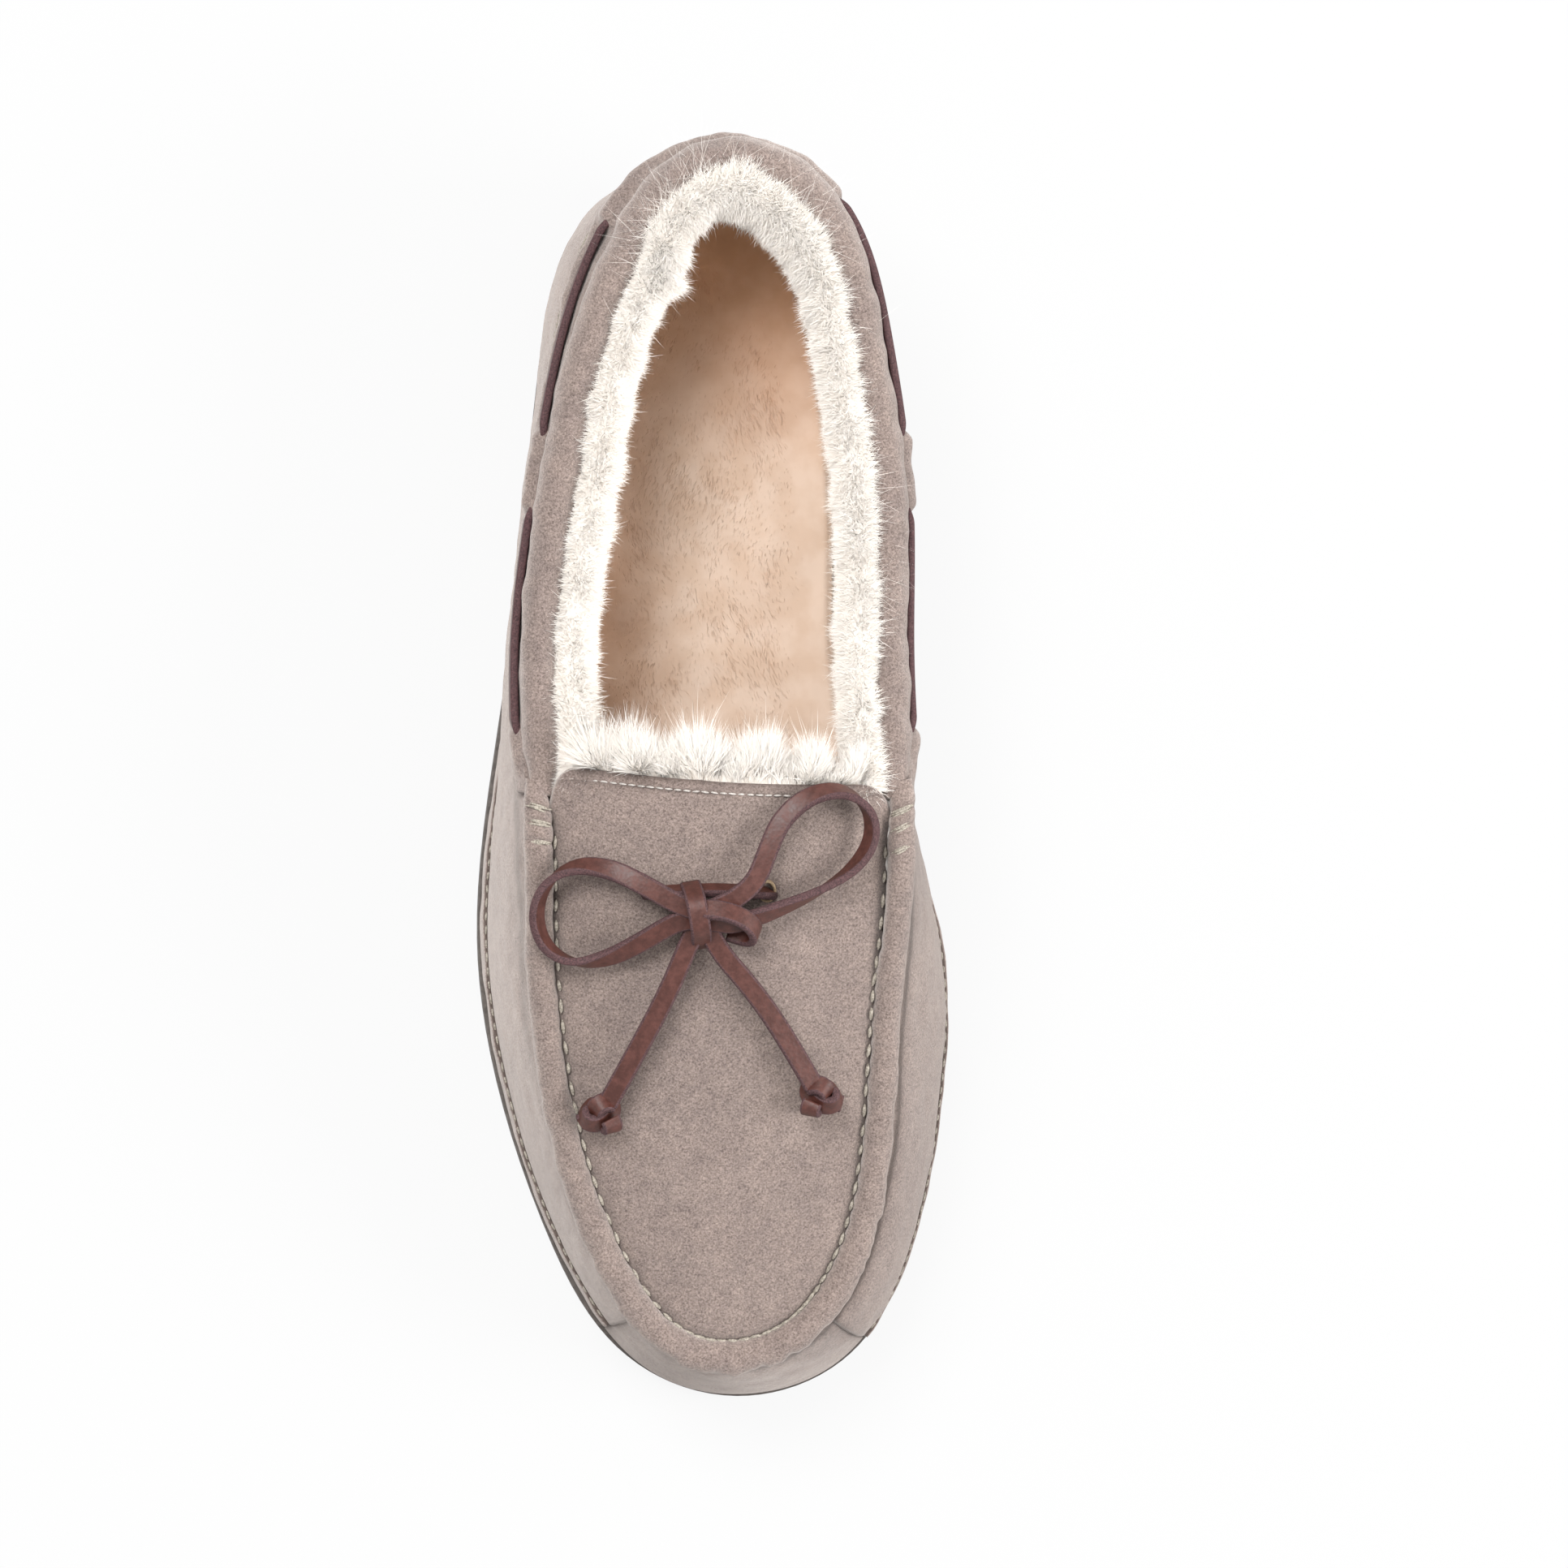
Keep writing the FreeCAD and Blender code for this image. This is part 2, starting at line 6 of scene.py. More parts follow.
import bmesh
import bpy
import numpy as np
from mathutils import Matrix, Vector


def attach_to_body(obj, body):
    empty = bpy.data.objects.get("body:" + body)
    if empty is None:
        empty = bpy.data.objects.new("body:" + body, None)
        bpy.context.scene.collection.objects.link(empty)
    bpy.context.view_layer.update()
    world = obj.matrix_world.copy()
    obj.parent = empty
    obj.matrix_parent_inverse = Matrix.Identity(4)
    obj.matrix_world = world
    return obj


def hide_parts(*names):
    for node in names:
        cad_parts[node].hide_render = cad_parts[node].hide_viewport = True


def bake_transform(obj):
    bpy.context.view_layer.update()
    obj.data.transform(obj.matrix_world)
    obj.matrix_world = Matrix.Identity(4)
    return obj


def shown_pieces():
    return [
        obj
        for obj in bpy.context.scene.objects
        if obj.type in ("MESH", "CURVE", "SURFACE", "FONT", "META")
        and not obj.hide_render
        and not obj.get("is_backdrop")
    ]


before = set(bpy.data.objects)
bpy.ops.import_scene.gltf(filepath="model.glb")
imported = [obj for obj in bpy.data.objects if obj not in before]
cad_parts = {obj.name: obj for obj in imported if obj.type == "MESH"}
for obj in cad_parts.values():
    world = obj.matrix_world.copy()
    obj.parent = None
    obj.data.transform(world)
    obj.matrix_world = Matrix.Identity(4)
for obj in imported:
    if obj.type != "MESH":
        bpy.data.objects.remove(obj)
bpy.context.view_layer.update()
MM = 0.001
CHAOS = np.random.default_rng(7)

# %% [markdown]
# ## Camera
# The slipper is looked at from almost straight above, a few degrees from its outer side, through a
# long lens. A long lens keeps the raised collar from growing beside the sole.

# %% Camera
LOOK_AT = Vector((14.75, -2.5, 8)) * MM
VIEW_DISTANCE = 2.2
LEAN = np.radians(5.0)
FRAME_WIDTH = 0.318
toward_camera = Vector((-np.sin(LEAN), 0, np.cos(LEAN)))
camera_data = bpy.data.cameras.new("camera")
camera_data.sensor_width = 36
camera_data.lens = camera_data.sensor_width * VIEW_DISTANCE / FRAME_WIDTH
camera_data.clip_end = 20
camera = bpy.data.objects.new("camera", camera_data)
camera.location = LOOK_AT + toward_camera * VIEW_DISTANCE
camera.rotation_euler = (0, -LEAN, 0)
bpy.context.scene.collection.objects.link(camera)
bpy.context.scene.camera = camera
print("lens", round(camera_data.lens), "mm")

# %% [markdown]
# ## The shape of the last
# A shoe is built on a last, and a last is a stack of closed rings: the sole's outline, the line where
# the upper turns in, the top edge. Each ring here passes through twenty stations, counted from the
# heel along the big-toe side. A closed cubic B-spline is used because it has no corner and no bump in
# its curvature, which a chain of arcs would show as a band of light on the suede.

# %% Rings
OUTLINE = np.array([
    (-4, 119.2), (19.5, 109.5), (29.5, 84), (33, 54), (33.3, 24), (38.7, -6), (47, -36), (46.8, -66),
    (41.2, -95), (28, -118.3), (6, -126.4), (-16.5, -118.3), (-32.8, -93), (-42, -66), (-46.7, -36),
    (-44.7, -6), (-40.3, 24), (-37.2, 54), (-34, 84), (-27, 108.8)], float)
TOP_INSET = np.array([-3, -1, 1, 0, 0, 5.1, 14.7, 15.8, 13.8, 12.9, 9.6, 7.2, 7, 8.1, 9.1, 6.2, 1, 1.5,
                      4, 6.5])
BULGE = np.array([-5, -5, -5, -5, -4, -1, 1.5, 1.5, 1.5, 1.5, 1.5, 1.5, 1.5, 1.5, 1, -2, -5, -5,
                  -5, -5.5])
COLLAR_HEIGHT = {0: 62, 1: 60, 2: 55, 3: 51, 4: 52, 16: 52, 17: 51, 18: 55, 19: 60}
STATIONS = len(OUTLINE)
FRONT = (0.25, 0.75)


def ring(values):
    """Controls of the closed cubic B-spline through the values: each value is a sixth of the
    control before, four sixths of its own and a sixth of the one after, solved for all at once."""
    weights = np.eye(STATIONS) * 4 + np.roll(np.eye(STATIONS), 1, 0) + np.roll(np.eye(STATIONS), -1, 0)
    return np.linalg.solve(weights / 6, np.asarray(values, float))


def along(controls, u):
    """The B-spline's value at every ring parameter in u, by its four cubic weights."""
    place = np.mod(np.asarray(u, float), 1.0) * STATIONS
    i = np.floor(place).astype(int)
    t = place - i
    weights = ((1 - t) ** 3, 3 * t ** 3 - 6 * t ** 2 + 4, -3 * t ** 3 + 3 * t ** 2 + 3 * t + 1, t ** 3)
    if controls.ndim > 1:
        weights = [w[..., None] for w in weights]
    return sum(w * controls[(i - 1 + k) % STATIONS] for k, w in enumerate(weights)) / 6


def mix(start, end, t):
    return start + (end - start) * t


def smooth(low, high, x):
    """0 below low, 1 above high, and an S-shaped cubic between."""
    t = np.clip((np.asarray(x, float) - low) / (high - low), 0, 1)
    return t * t * (3 - 2 * t)


def unit(v):
    return v / np.maximum(np.linalg.norm(v, axis=-1, keepdims=True), 1e-9)


def plug_height(x, y):
    """Outside of the plug: a slope that steepens towards the toe, less a parabola across."""
    return 67.5 + 0.2 * y - 0.00085 * y ** 2 - 0.006 * (x + 3) ** 2


outline_ring = ring(OUTLINE)
top_inset_ring = ring(TOP_INSET)
bulge_ring = ring(BULGE)


def outline(u, inset=0.0):
    """Plan points on the sole's outline moved inwards, and the inward direction there."""
    ahead = along(outline_ring, np.asarray(u) + 0.002) - along(outline_ring, np.asarray(u) - 0.002)
    heading = unit(ahead)
    inward = np.stack([heading[..., 1], -heading[..., 0]], -1)
    return along(outline_ring, u) + inward * np.asarray(inset)[..., None], inward


def station_height(i):
    if i in COLLAR_HEIGHT:
        return COLLAR_HEIGHT[i]
    point, _ = outline(i / STATIONS, TOP_INSET[i])
    return plug_height(point[0], point[1])


top_height_ring = ring([station_height(i) for i in range(STATIONS)])
ring_length = np.linalg.norm(np.diff(along(outline_ring, np.linspace(0, 1, 400)), axis=0), axis=1).sum()
print("round the sole", round(ring_length), "mm")

# %% [markdown]
# The upper's wall is one surface of two parameters: u runs round the sole, and v climbs from the
# sole to the top edge. Climbing is a cubic Bezier in inset and height, so a quarter can swell past
# the sole at the heel and fold over towards the plug in front, with the same few numbers.

# %% Wall surface
FOOT_INSET = 1.0
FOOT_HEIGHT = 13.0


def bezier(a, b, c, d, t):
    return a * (1 - t) ** 3 + 3 * b * t * (1 - t) ** 2 + 3 * c * t ** 2 * (1 - t) + d * t ** 3


def wall_at(u, v, foot_inset=FOOT_INSET, foot=FOOT_HEIGHT):
    u, v = np.broadcast_arrays(np.asarray(u, float), np.asarray(v, float))
    edge = along(top_inset_ring, u)
    swell = along(bulge_ring, u)
    rise = along(top_height_ring, u) - foot
    inset = bezier(foot_inset, swell, mix(swell, edge, 0.45), edge, v)
    plan, _ = outline(u, inset)
    height = bezier(foot, foot + 0.4 * rise, foot + 0.9 * rise, foot + rise, v)
    return np.concatenate([plan, height[..., None]], -1)


def wall(u, v, offset=0.0, **feet):
    """The wall moved along its own normal, which is the cross product of its two slopes."""
    u, v = np.broadcast_arrays(np.asarray(u, float), np.asarray(v, float))
    step = 0.004
    du = wall_at(u + step, v, **feet) - wall_at(u - step, v, **feet)
    dv = wall_at(u, np.minimum(v + step, 1), **feet) - wall_at(u, np.maximum(v - step, 0), **feet)
    normal = unit(np.cross(dv, du))
    return wall_at(u, v, **feet) + normal * np.asarray(offset)[..., None]


def top_edge(u, outwards=0.0, up=0.0):
    """Points beside the wall's top edge: outwards in plan, and up."""
    plan, inward = outline(u, along(top_inset_ring, u))
    plan = plan - inward * np.asarray(outwards)[..., None]
    height = along(top_height_ring, u) + up
    return np.concatenate([plan, np.broadcast_to(height, plan.shape[:-1])[..., None]], -1)


# %% [markdown]
# ## Turning grids into meshes
# Every surface arrives as a grid of points. The arrays go into the mesh whole, because a loop over
# a hundred thousand vertices in Python takes minutes and foreach_set takes a moment.

# %% Mesh helpers
def make_mesh(name, points, quads, tris=None, material=None, **attributes):
    """A piece from an array of points in millimetres and arrays of corner indices."""
    mesh = bpy.data.meshes.new(name)
    mesh.vertices.add(len(points))
    mesh.vertices.foreach_set("co", (np.asarray(points) * MM).astype(np.float32).ravel())
    corners = [quads.ravel()] if tris is None else [quads.ravel(), tris.ravel()]
    corner_list = np.concatenate(corners).astype(np.int32)
    starts = np.arange(len(quads)) * 4
    if tris is not None:
        starts = np.concatenate([starts, len(quads) * 4 + np.arange(len(tris)) * 3])
    mesh.loops.add(len(corner_list))
    mesh.loops.foreach_set("vertex_index", corner_list)
    mesh.polygons.add(len(starts))
    mesh.polygons.foreach_set("loop_start", starts.astype(np.int32))
    mesh.update(calc_edges=True)
    mesh.polygons.foreach_set("use_smooth", np.ones(len(starts), bool))
    for label, values in attributes.items():
        mesh.attributes.new(label, "FLOAT", "POINT").data.foreach_set(
            "value", np.asarray(values, np.float32).ravel())
    piece = bpy.data.objects.new(name, mesh)
    bpy.context.scene.collection.objects.link(piece)
    if material:
        mesh.materials.append(material)
    return piece


def grid_quads(rows, columns, close_rows=False, close_columns=False, first=0):
    """Corner indices of the quads between the points of a grid."""
    i = np.arange(rows if close_rows else rows - 1)
    j = np.arange(columns if close_columns else columns - 1)
    i, j = np.meshgrid(i, j, indexing="ij")
    next_i = (i + 1) % rows
    next_j = (j + 1) % columns
    quads = np.stack([i * columns + j, next_i * columns + j,
                      next_i * columns + next_j, i * columns + next_j], -1)
    return quads.reshape(-1, 4) + first


def weld(piece):
    """Joins points that coincide, and turns every face outwards."""
    work = bmesh.new()
    work.from_mesh(piece.data)
    bmesh.ops.remove_doubles(work, verts=work.verts, dist=1e-6)
    bmesh.ops.recalc_face_normals(work, faces=work.faces)
    work.to_mesh(piece.data)
    work.free()
    return piece


def panel(name, outer, inner, material, **attributes):
    """A closed sheet of leather between two grids. A border of points half way through the
    thickness, pushed out a little, rounds the cut edge and closes it."""
    middle = (outer + inner) / 2
    reach = np.linalg.norm(outer - inner, axis=-1, keepdims=True) * 0.45

    def bordered(grid):
        ends = np.concatenate([middle[:1] + unit(middle[:1] - middle[1:2]) * reach[:1], grid,
                               middle[-1:] + unit(middle[-1:] - middle[-2:-1]) * reach[-1:]])
        low = middle[:, :1] + unit(middle[:, :1] - middle[:, 1:2]) * reach[:, :1]
        high = middle[:, -1:] + unit(middle[:, -1:] - middle[:, -2:-1]) * reach[:, -1:]
        low = np.concatenate([ends[:1, :1], low, ends[-1:, :1]])
        high = np.concatenate([ends[:1, -1:], high, ends[-1:, -1:]])
        return np.concatenate([low, ends, high], 1)

    both = [bordered(outer), bordered(inner)]
    rows, columns = both[0].shape[:2]
    front = grid_quads(rows, columns)
    back = grid_quads(rows, columns, first=rows * columns)[:, ::-1]
    values = {}
    for label, grid in attributes.items():
        padded = np.pad(np.broadcast_to(grid, outer.shape[:2]), 1, mode="edge")
        values[label] = np.concatenate([padded.ravel(), padded.ravel()])
    piece = make_mesh(name, np.concatenate([g.reshape(-1, 3) for g in both]),
                      np.concatenate([front, back]), material=material, **values)
    return weld(piece)


def attach(piece, body="slipper", replaces=()):
    """Rides the piece on a body of the design, in place of plain solids."""
    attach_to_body(piece, body)
    if replaces:
        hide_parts(*replaces)
    print(f"{piece.name}: {len(piece.data.polygons)} faces")
    return piece


# %% [markdown]
# ## Soft unevenness
# Hand-sewn suede is never a clean mathematical surface. A sum of slow waves in random directions
# gives a gentle, repeatable unevenness: more waves than a few, and no direction is favoured.

# %% Unevenness
def unevenness(points, wavelength, seed, waves=14):
    """A smooth random field between about -1 and 1, at points in millimetres."""
    draw = np.random.default_rng(seed)
    directions = unit(draw.normal(size=(waves, 3)))
    rates = 2 * np.pi / (wavelength * draw.uniform(0.7, 1.6, waves))
    shifts = draw.uniform(0, 2 * np.pi, waves)
    total = sum(np.sin(points @ (d * r) + s) for d, r, s in zip(directions, rates, shifts))
    return total / np.sqrt(waves)


# %% [markdown]
# ## Materials
# The two leathers differ in one effect each: suede has a fibrous nap, and lace leather a fine grain.
# Each effect is a node group, built once, that gives plain values for a material to colour.

# %% Node helpers
def node(tree, kind, **settings):
    made = tree.nodes.new(kind)
    for key, value in settings.items():
        if key in made.inputs.keys():
            made.inputs[key].default_value = value
        else:
            setattr(made, key, value)
    return made


def group_tree(name, inputs, outputs):
    """An empty node group with its named sockets."""
    tree = bpy.data.node_groups.new(name, "ShaderNodeTree")
    for label, kind, default in inputs:
        socket = tree.interface.new_socket(label, in_out="INPUT", socket_type=kind)
        if default is not None:
            socket.default_value = default
    for label, kind in outputs:
        tree.interface.new_socket(label, in_out="OUTPUT", socket_type=kind)
    return tree, tree.nodes.new("NodeGroupInput"), tree.nodes.new("NodeGroupOutput")


def place_group(tree, group, place):
    """The group in a material, reading the given coordinates."""
    made = node(tree, "ShaderNodeGroup", node_tree=group)
    tree.links.new(place, made.inputs["Vector"])
    return made


def feed(tree, socket, value):
    """Puts a number, an (r, g, b) value or another socket into a socket."""
    if isinstance(value, tuple):
        value = (*value, 1)
    if isinstance(value, (int, float, tuple)):
        socket.default_value = value
    else:
        tree.links.new(value, socket)


def calc(tree, operation, first, second):
    made = node(tree, "ShaderNodeMath", operation=operation)
    feed(tree, made.inputs[0], first)
    feed(tree, made.inputs[1], second)
    return made.outputs[0]


def blend_colour(tree, factor, first, second, mode="MIX"):
    """A colour Mix node. Its sockets 6 and 7 are the two colours, and output 2 is their mix."""
    made = node(tree, "ShaderNodeMix", data_type="RGBA", blend_type=mode)
    for index, value in ((0, factor), (6, first), (7, second)):
        feed(tree, made.inputs[index], value)
    return made.outputs[2]


def mask(tree, label):
    """The value of a mesh attribute."""
    return node(tree, "ShaderNodeAttribute", attribute_name=label).outputs["Fac"]


def srgb(*rgb):
    """A display colour, 0 to 255, as the linear light that shaders use."""
    v = np.array(rgb) / 255
    return tuple(float(x) for x in np.where(v <= 0.04045, v / 12.92, ((v + 0.055) / 1.055) ** 2.4))


# %% Nap and grain
def build_nap():
    """Nap: fine fibre flecks, a mottle a few millimetres wide, and slow brushed patches."""
    tree, given, out = group_tree(
        "Suede nap", [("Vector", "NodeSocketVector", None), ("Fibre scale", "NodeSocketFloat", 2400.0),
                      ("Mottle scale", "NodeSocketFloat", 330.0)],
        [("Fleck", "NodeSocketFloat"), ("Mottle", "NodeSocketFloat"), ("Patch", "NodeSocketFloat"),
         ("Height", "NodeSocketFloat")])
    fleck = node(tree, "ShaderNodeTexNoise", Detail=5.0, Roughness=0.8, Distortion=0.5)
    mottle = node(tree, "ShaderNodeTexNoise", Detail=4.0, Roughness=0.6, Distortion=0.6)
    patch = node(tree, "ShaderNodeTexNoise", Scale=38.0, Detail=2.0, Roughness=0.5, Distortion=0.8)
    for texture in (fleck, mottle, patch):
        tree.links.new(given.outputs["Vector"], texture.inputs["Vector"])
    tree.links.new(given.outputs["Fibre scale"], fleck.inputs["Scale"])
    tree.links.new(given.outputs["Mottle scale"], mottle.inputs["Scale"])
    tree.links.new(fleck.outputs["Fac"], out.inputs["Fleck"])
    tree.links.new(mottle.outputs["Fac"], out.inputs["Mottle"])
    tree.links.new(patch.outputs["Fac"], out.inputs["Patch"])
    height = calc(tree, "ADD", fleck.outputs["Fac"], calc(tree, "MULTIPLY", mottle.outputs["Fac"], 0.6))
    tree.links.new(height, out.inputs["Height"])
    return tree


def build_grain():
    """Grain: the small closed cells of a smooth hide, and the dust between them."""
    tree, given, out = group_tree(
        "Hide grain", [("Vector", "NodeSocketVector", None), ("Cell scale", "NodeSocketFloat", 1400.0)],
        [("Dust", "NodeSocketFloat"), ("Height", "NodeSocketFloat")])
    cells = node(tree, "ShaderNodeTexVoronoi", Randomness=1.0)
    dust = node(tree, "ShaderNodeTexNoise", Detail=5.0, Roughness=0.7)
    tree.links.new(given.outputs["Vector"], cells.inputs["Vector"])
    tree.links.new(given.outputs["Vector"], dust.inputs["Vector"])
    tree.links.new(given.outputs["Cell scale"], cells.inputs["Scale"])
    tree.links.new(calc(tree, "MULTIPLY", given.outputs["Cell scale"], 0.4), dust.inputs["Scale"])
    tree.links.new(dust.outputs["Fac"], out.inputs["Dust"])
    tree.links.new(calc(tree, "ADD", cells.outputs["Distance"], dust.outputs["Fac"]),
                   out.inputs["Height"])
    return tree


NAP = build_nap()
GRAIN = build_grain()


def start_material(name, **shader_values):
    """A material with its shader, and the object coordinates that its effects read."""
    material = bpy.data.materials.new(name)
    material.use_nodes = True
    tree = material.node_tree
    shader = tree.nodes["Principled BSDF"]
    for key, value in shader_values.items():
        shader.inputs[key.replace("_", " ")].default_value = value
    place = tree.nodes.new("ShaderNodeTexCoord").outputs["Object"]
    return material, tree, shader, place


def contrast(tree, value, low, high):
    """Stretches a soft value so that low becomes 0 and high becomes 1."""
    made = node(tree, "ShaderNodeMapRange", **{"From Min": low, "From Max": high})
    tree.links.new(value, made.inputs["Value"])
    return made.outputs["Result"]


def add_bump(tree, shader, height, strength, distance):
    bump = node(tree, "ShaderNodeBump", Strength=strength, Distance=distance)
    tree.links.new(height, bump.inputs["Height"])
    tree.links.new(bump.outputs["Normal"], shader.inputs["Normal"])


# %% [markdown]
# Suede has no shine but a pale bloom where the light skims its fibres, so it gets sheen and full
# roughness. Its colour is a dark and a light fibre mixed by the flecks, brushed lighter and darker
# in patches, and darkened with a painted shade down in the seams, in creases and under the parts
# that lie over it, which each piece marks with its seam attribute.

# %% Suede
def suede_material(name, dark, light, seam_tone):
    material, tree, shader, place = start_material(
        name, Roughness=0.95, Sheen_Weight=0.55, Sheen_Roughness=0.5,
        Sheen_Tint=(1, 0.93, 0.88, 1), Specular_IOR_Level=0.2)
    nap = place_group(tree, NAP, place)
    fibres = blend_colour(tree, contrast(tree, nap.outputs["Fleck"], 0.385, 0.615), dark, light)
    brushed = calc(tree, "ADD", calc(tree, "MULTIPLY", nap.outputs["Mottle"], 0.6),
                   calc(tree, "MULTIPLY", nap.outputs["Patch"], 0.4))
    tone = contrast(tree, brushed, 0.35, 0.65)
    toned = blend_colour(tree, tone, (0.82, 0.81, 0.82), (1.13, 1.12, 1.1))
    brushed_fibres = blend_colour(tree, 1.0, fibres, toned, "MULTIPLY")
    # Painted shade: seam mixes in the dark tone along seams, in creases and under other parts.
    tree.links.new(blend_colour(tree, mask(tree, "seam"), brushed_fibres, seam_tone),
                   shader.inputs["Base Color"])
    add_bump(tree, shader, nap.outputs["Height"], 0.6, 0.0003)
    return material


# The last colour is the painted shade of the seams and creases.
suede = suede_material("suede", srgb(88, 76, 71), srgb(149, 134, 127), srgb(66, 55, 50))


# %% [markdown]
# Wool is thousands of fibres, made as geometry further on. A fibre is nearly white, warmer and a
# little darker at its root, partly a painted shade down in the coat, and lets some light through to
# the ones below. The strand attribute gives each fibre its own tone, and the packed attribute
# paints a browner shade on the fleece deep in the heel and along the outer side.

# %% Wool and fleece
WHITE = (1.0, 1.0, 1.0)
# The packed tone is a painted shade; the strand tone varies at random from fibre to fibre.
TONES = {"strand": (0.96, 0.935, 0.9), "packed": (1.0, 0.7, 0.5)}
TRANSLUCENT_SHARE = 0.24


def wool_material(name, root_tone_and_shade, tip, shade):
    material, tree, shader, place = start_material(
        name, Roughness=0.8, Sheen_Weight=0.2, Sheen_Roughness=0.4, Specular_IOR_Level=0.2)
    # Partly painted shade: the root colour is warmer and a little darker than the tip, and the bodies
    # under the coats take most of it.
    colour = blend_colour(tree, mask(tree, "tip"), root_tone_and_shade, tip)
    clouds = node(tree, "ShaderNodeTexNoise", Scale=160.0, Detail=3.0)
    tree.links.new(place, clouds.inputs["Vector"])
    cloudy = blend_colour(tree, contrast(tree, clouds.outputs["Fac"], 0.4, 0.62), shade, WHITE)
    colour = blend_colour(tree, 1.0, colour, cloudy, "MULTIPLY")
    for label, tone in TONES.items():
        colour = blend_colour(tree, 1.0, colour, blend_colour(tree, mask(tree, label), WHITE, tone),
                              "MULTIPLY")
    tree.links.new(colour, shader.inputs["Base Color"])
    through = node(tree, "ShaderNodeBsdfTranslucent")
    tree.links.new(colour, through.inputs["Color"])
    both = node(tree, "ShaderNodeMixShader", Fac=TRANSLUCENT_SHARE)
    tree.links.new(shader.outputs["BSDF"], both.inputs[1])
    tree.links.new(through.outputs["BSDF"], both.inputs[2])
    tree.links.new(both.outputs["Shader"], tree.nodes["Material Output"].inputs["Surface"])
    return material


wool = wool_material("shearling", srgb(251, 245, 238), srgb(253, 250, 246), (0.985, 0.978, 0.97))
fleece = wool_material("tan_fleece", srgb(223, 198, 177), srgb(233, 212, 195), (0.93, 0.89, 0.85))


# %% [markdown]
# Lace leather is smooth and dyed on both faces, and its cut edges keep the mauve of the raw hide.
# The edge attribute tells them apart. A lace has no even coat of shine: its grain breaks the shine
# up, so the grain drives the roughness.

# %% Lace leather
def lace_material():
    material, tree, shader, place = start_material("lace_leather", Specular_IOR_Level=0.4)
    grain = place_group(tree, GRAIN, place)
    dust = contrast(tree, grain.outputs["Dust"], 0.4, 0.7)
    face = blend_colour(tree, dust, srgb(64, 33, 27), srgb(86, 49, 42))
    fuzz = node(tree, "ShaderNodeTexNoise", Scale=3200.0, Detail=3.0, Roughness=0.7)
    tree.links.new(place, fuzz.inputs["Vector"])
    raw = blend_colour(tree, contrast(tree, fuzz.outputs["Fac"], 0.38, 0.62), srgb(50, 32, 34),
                       srgb(88, 61, 62))
    edge = mask(tree, "edge")
    tree.links.new(blend_colour(tree, edge, face, raw), shader.inputs["Base Color"])
    matt = calc(tree, "MULTIPLY", edge, 0.35)
    tree.links.new(calc(tree, "ADD", matt, contrast(tree, grain.outputs["Dust"], -0.5, 1.7)),
                   shader.inputs["Roughness"])
    add_bump(tree, shader, grain.outputs["Height"], 0.25, 0.00012)
    return material


lace_leather = lace_material()


# %% Thread, rubber, board and foam
def plain_material(name, dark, light, scale, roughness, bump_depth):
    """Two tones mixed by a fine noise that also gives the bump."""
    material, tree, shader, place = start_material(name, Roughness=roughness)
    speck = node(tree, "ShaderNodeTexNoise", Scale=scale, Detail=4.0, Roughness=0.65)
    tree.links.new(place, speck.inputs["Vector"])
    tree.links.new(blend_colour(tree, contrast(tree, speck.outputs["Fac"], 0.35, 0.65), dark, light),
                   shader.inputs["Base Color"])
    add_bump(tree, shader, speck.outputs["Fac"], 0.5, bump_depth)
    return material


thread = plain_material("thread", srgb(104, 96, 86), srgb(172, 164, 151), 2600, 0.6, 0.0002)
pale_thread = plain_material("pale_thread", srgb(140, 133, 127), srgb(196, 190, 184), 2600, 0.55, 0.0002)
rubber = plain_material("rubber", srgb(70, 64, 60), srgb(94, 87, 82), 900, 0.7, 0.0002)
board = plain_material("board", srgb(160, 136, 104), srgb(196, 172, 136), 500, 0.9, 0.0003)
foam = plain_material("foam", srgb(206, 196, 170), srgb(232, 224, 202), 1500, 0.95, 0.0004)
raw_hide = plain_material("raw_hide", srgb(128, 104, 78), srgb(176, 154, 125), 2200, 0.9, 0.0003)

CARRIED = {"outsole": rubber, "insole_board": board, "heel_counter": board, "footbed_foam": foam}
for name, material in CARRIED.items():
    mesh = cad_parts[name].data
    mesh.materials.clear()
    mesh.materials.append(material)
print("materials", len(bpy.data.materials))

# %% [markdown]
# ## Upper panels
# The toe cap and the two quarters are suede about a millimetre and a half thick. Pulled over the
# last and gathered into the apron seam, they ripple near that seam, most of all round the toe.

# %% Quarters and toe cap
TOE_CAP = (0.447, 0.563)
PANEL_GAP = 0.0010
SUEDE_THICK = 1.4
LIP = 3.3
SEAM_SLANT = 0.006


def gathers(u, v):
    """Ripples across the seam: a wave along u, strongest at the top edge and round the toe."""
    at_toe = np.exp(-((np.mod(u, 1) - 0.505) / 0.075) ** 2)
    top = smooth(0.55, 1.0, v)
    wave = np.sin(2 * np.pi * u * 98 + 1.2 * np.sin(2 * np.pi * u * 17))
    return wave * top * (0.05 + 0.24 * at_toe)


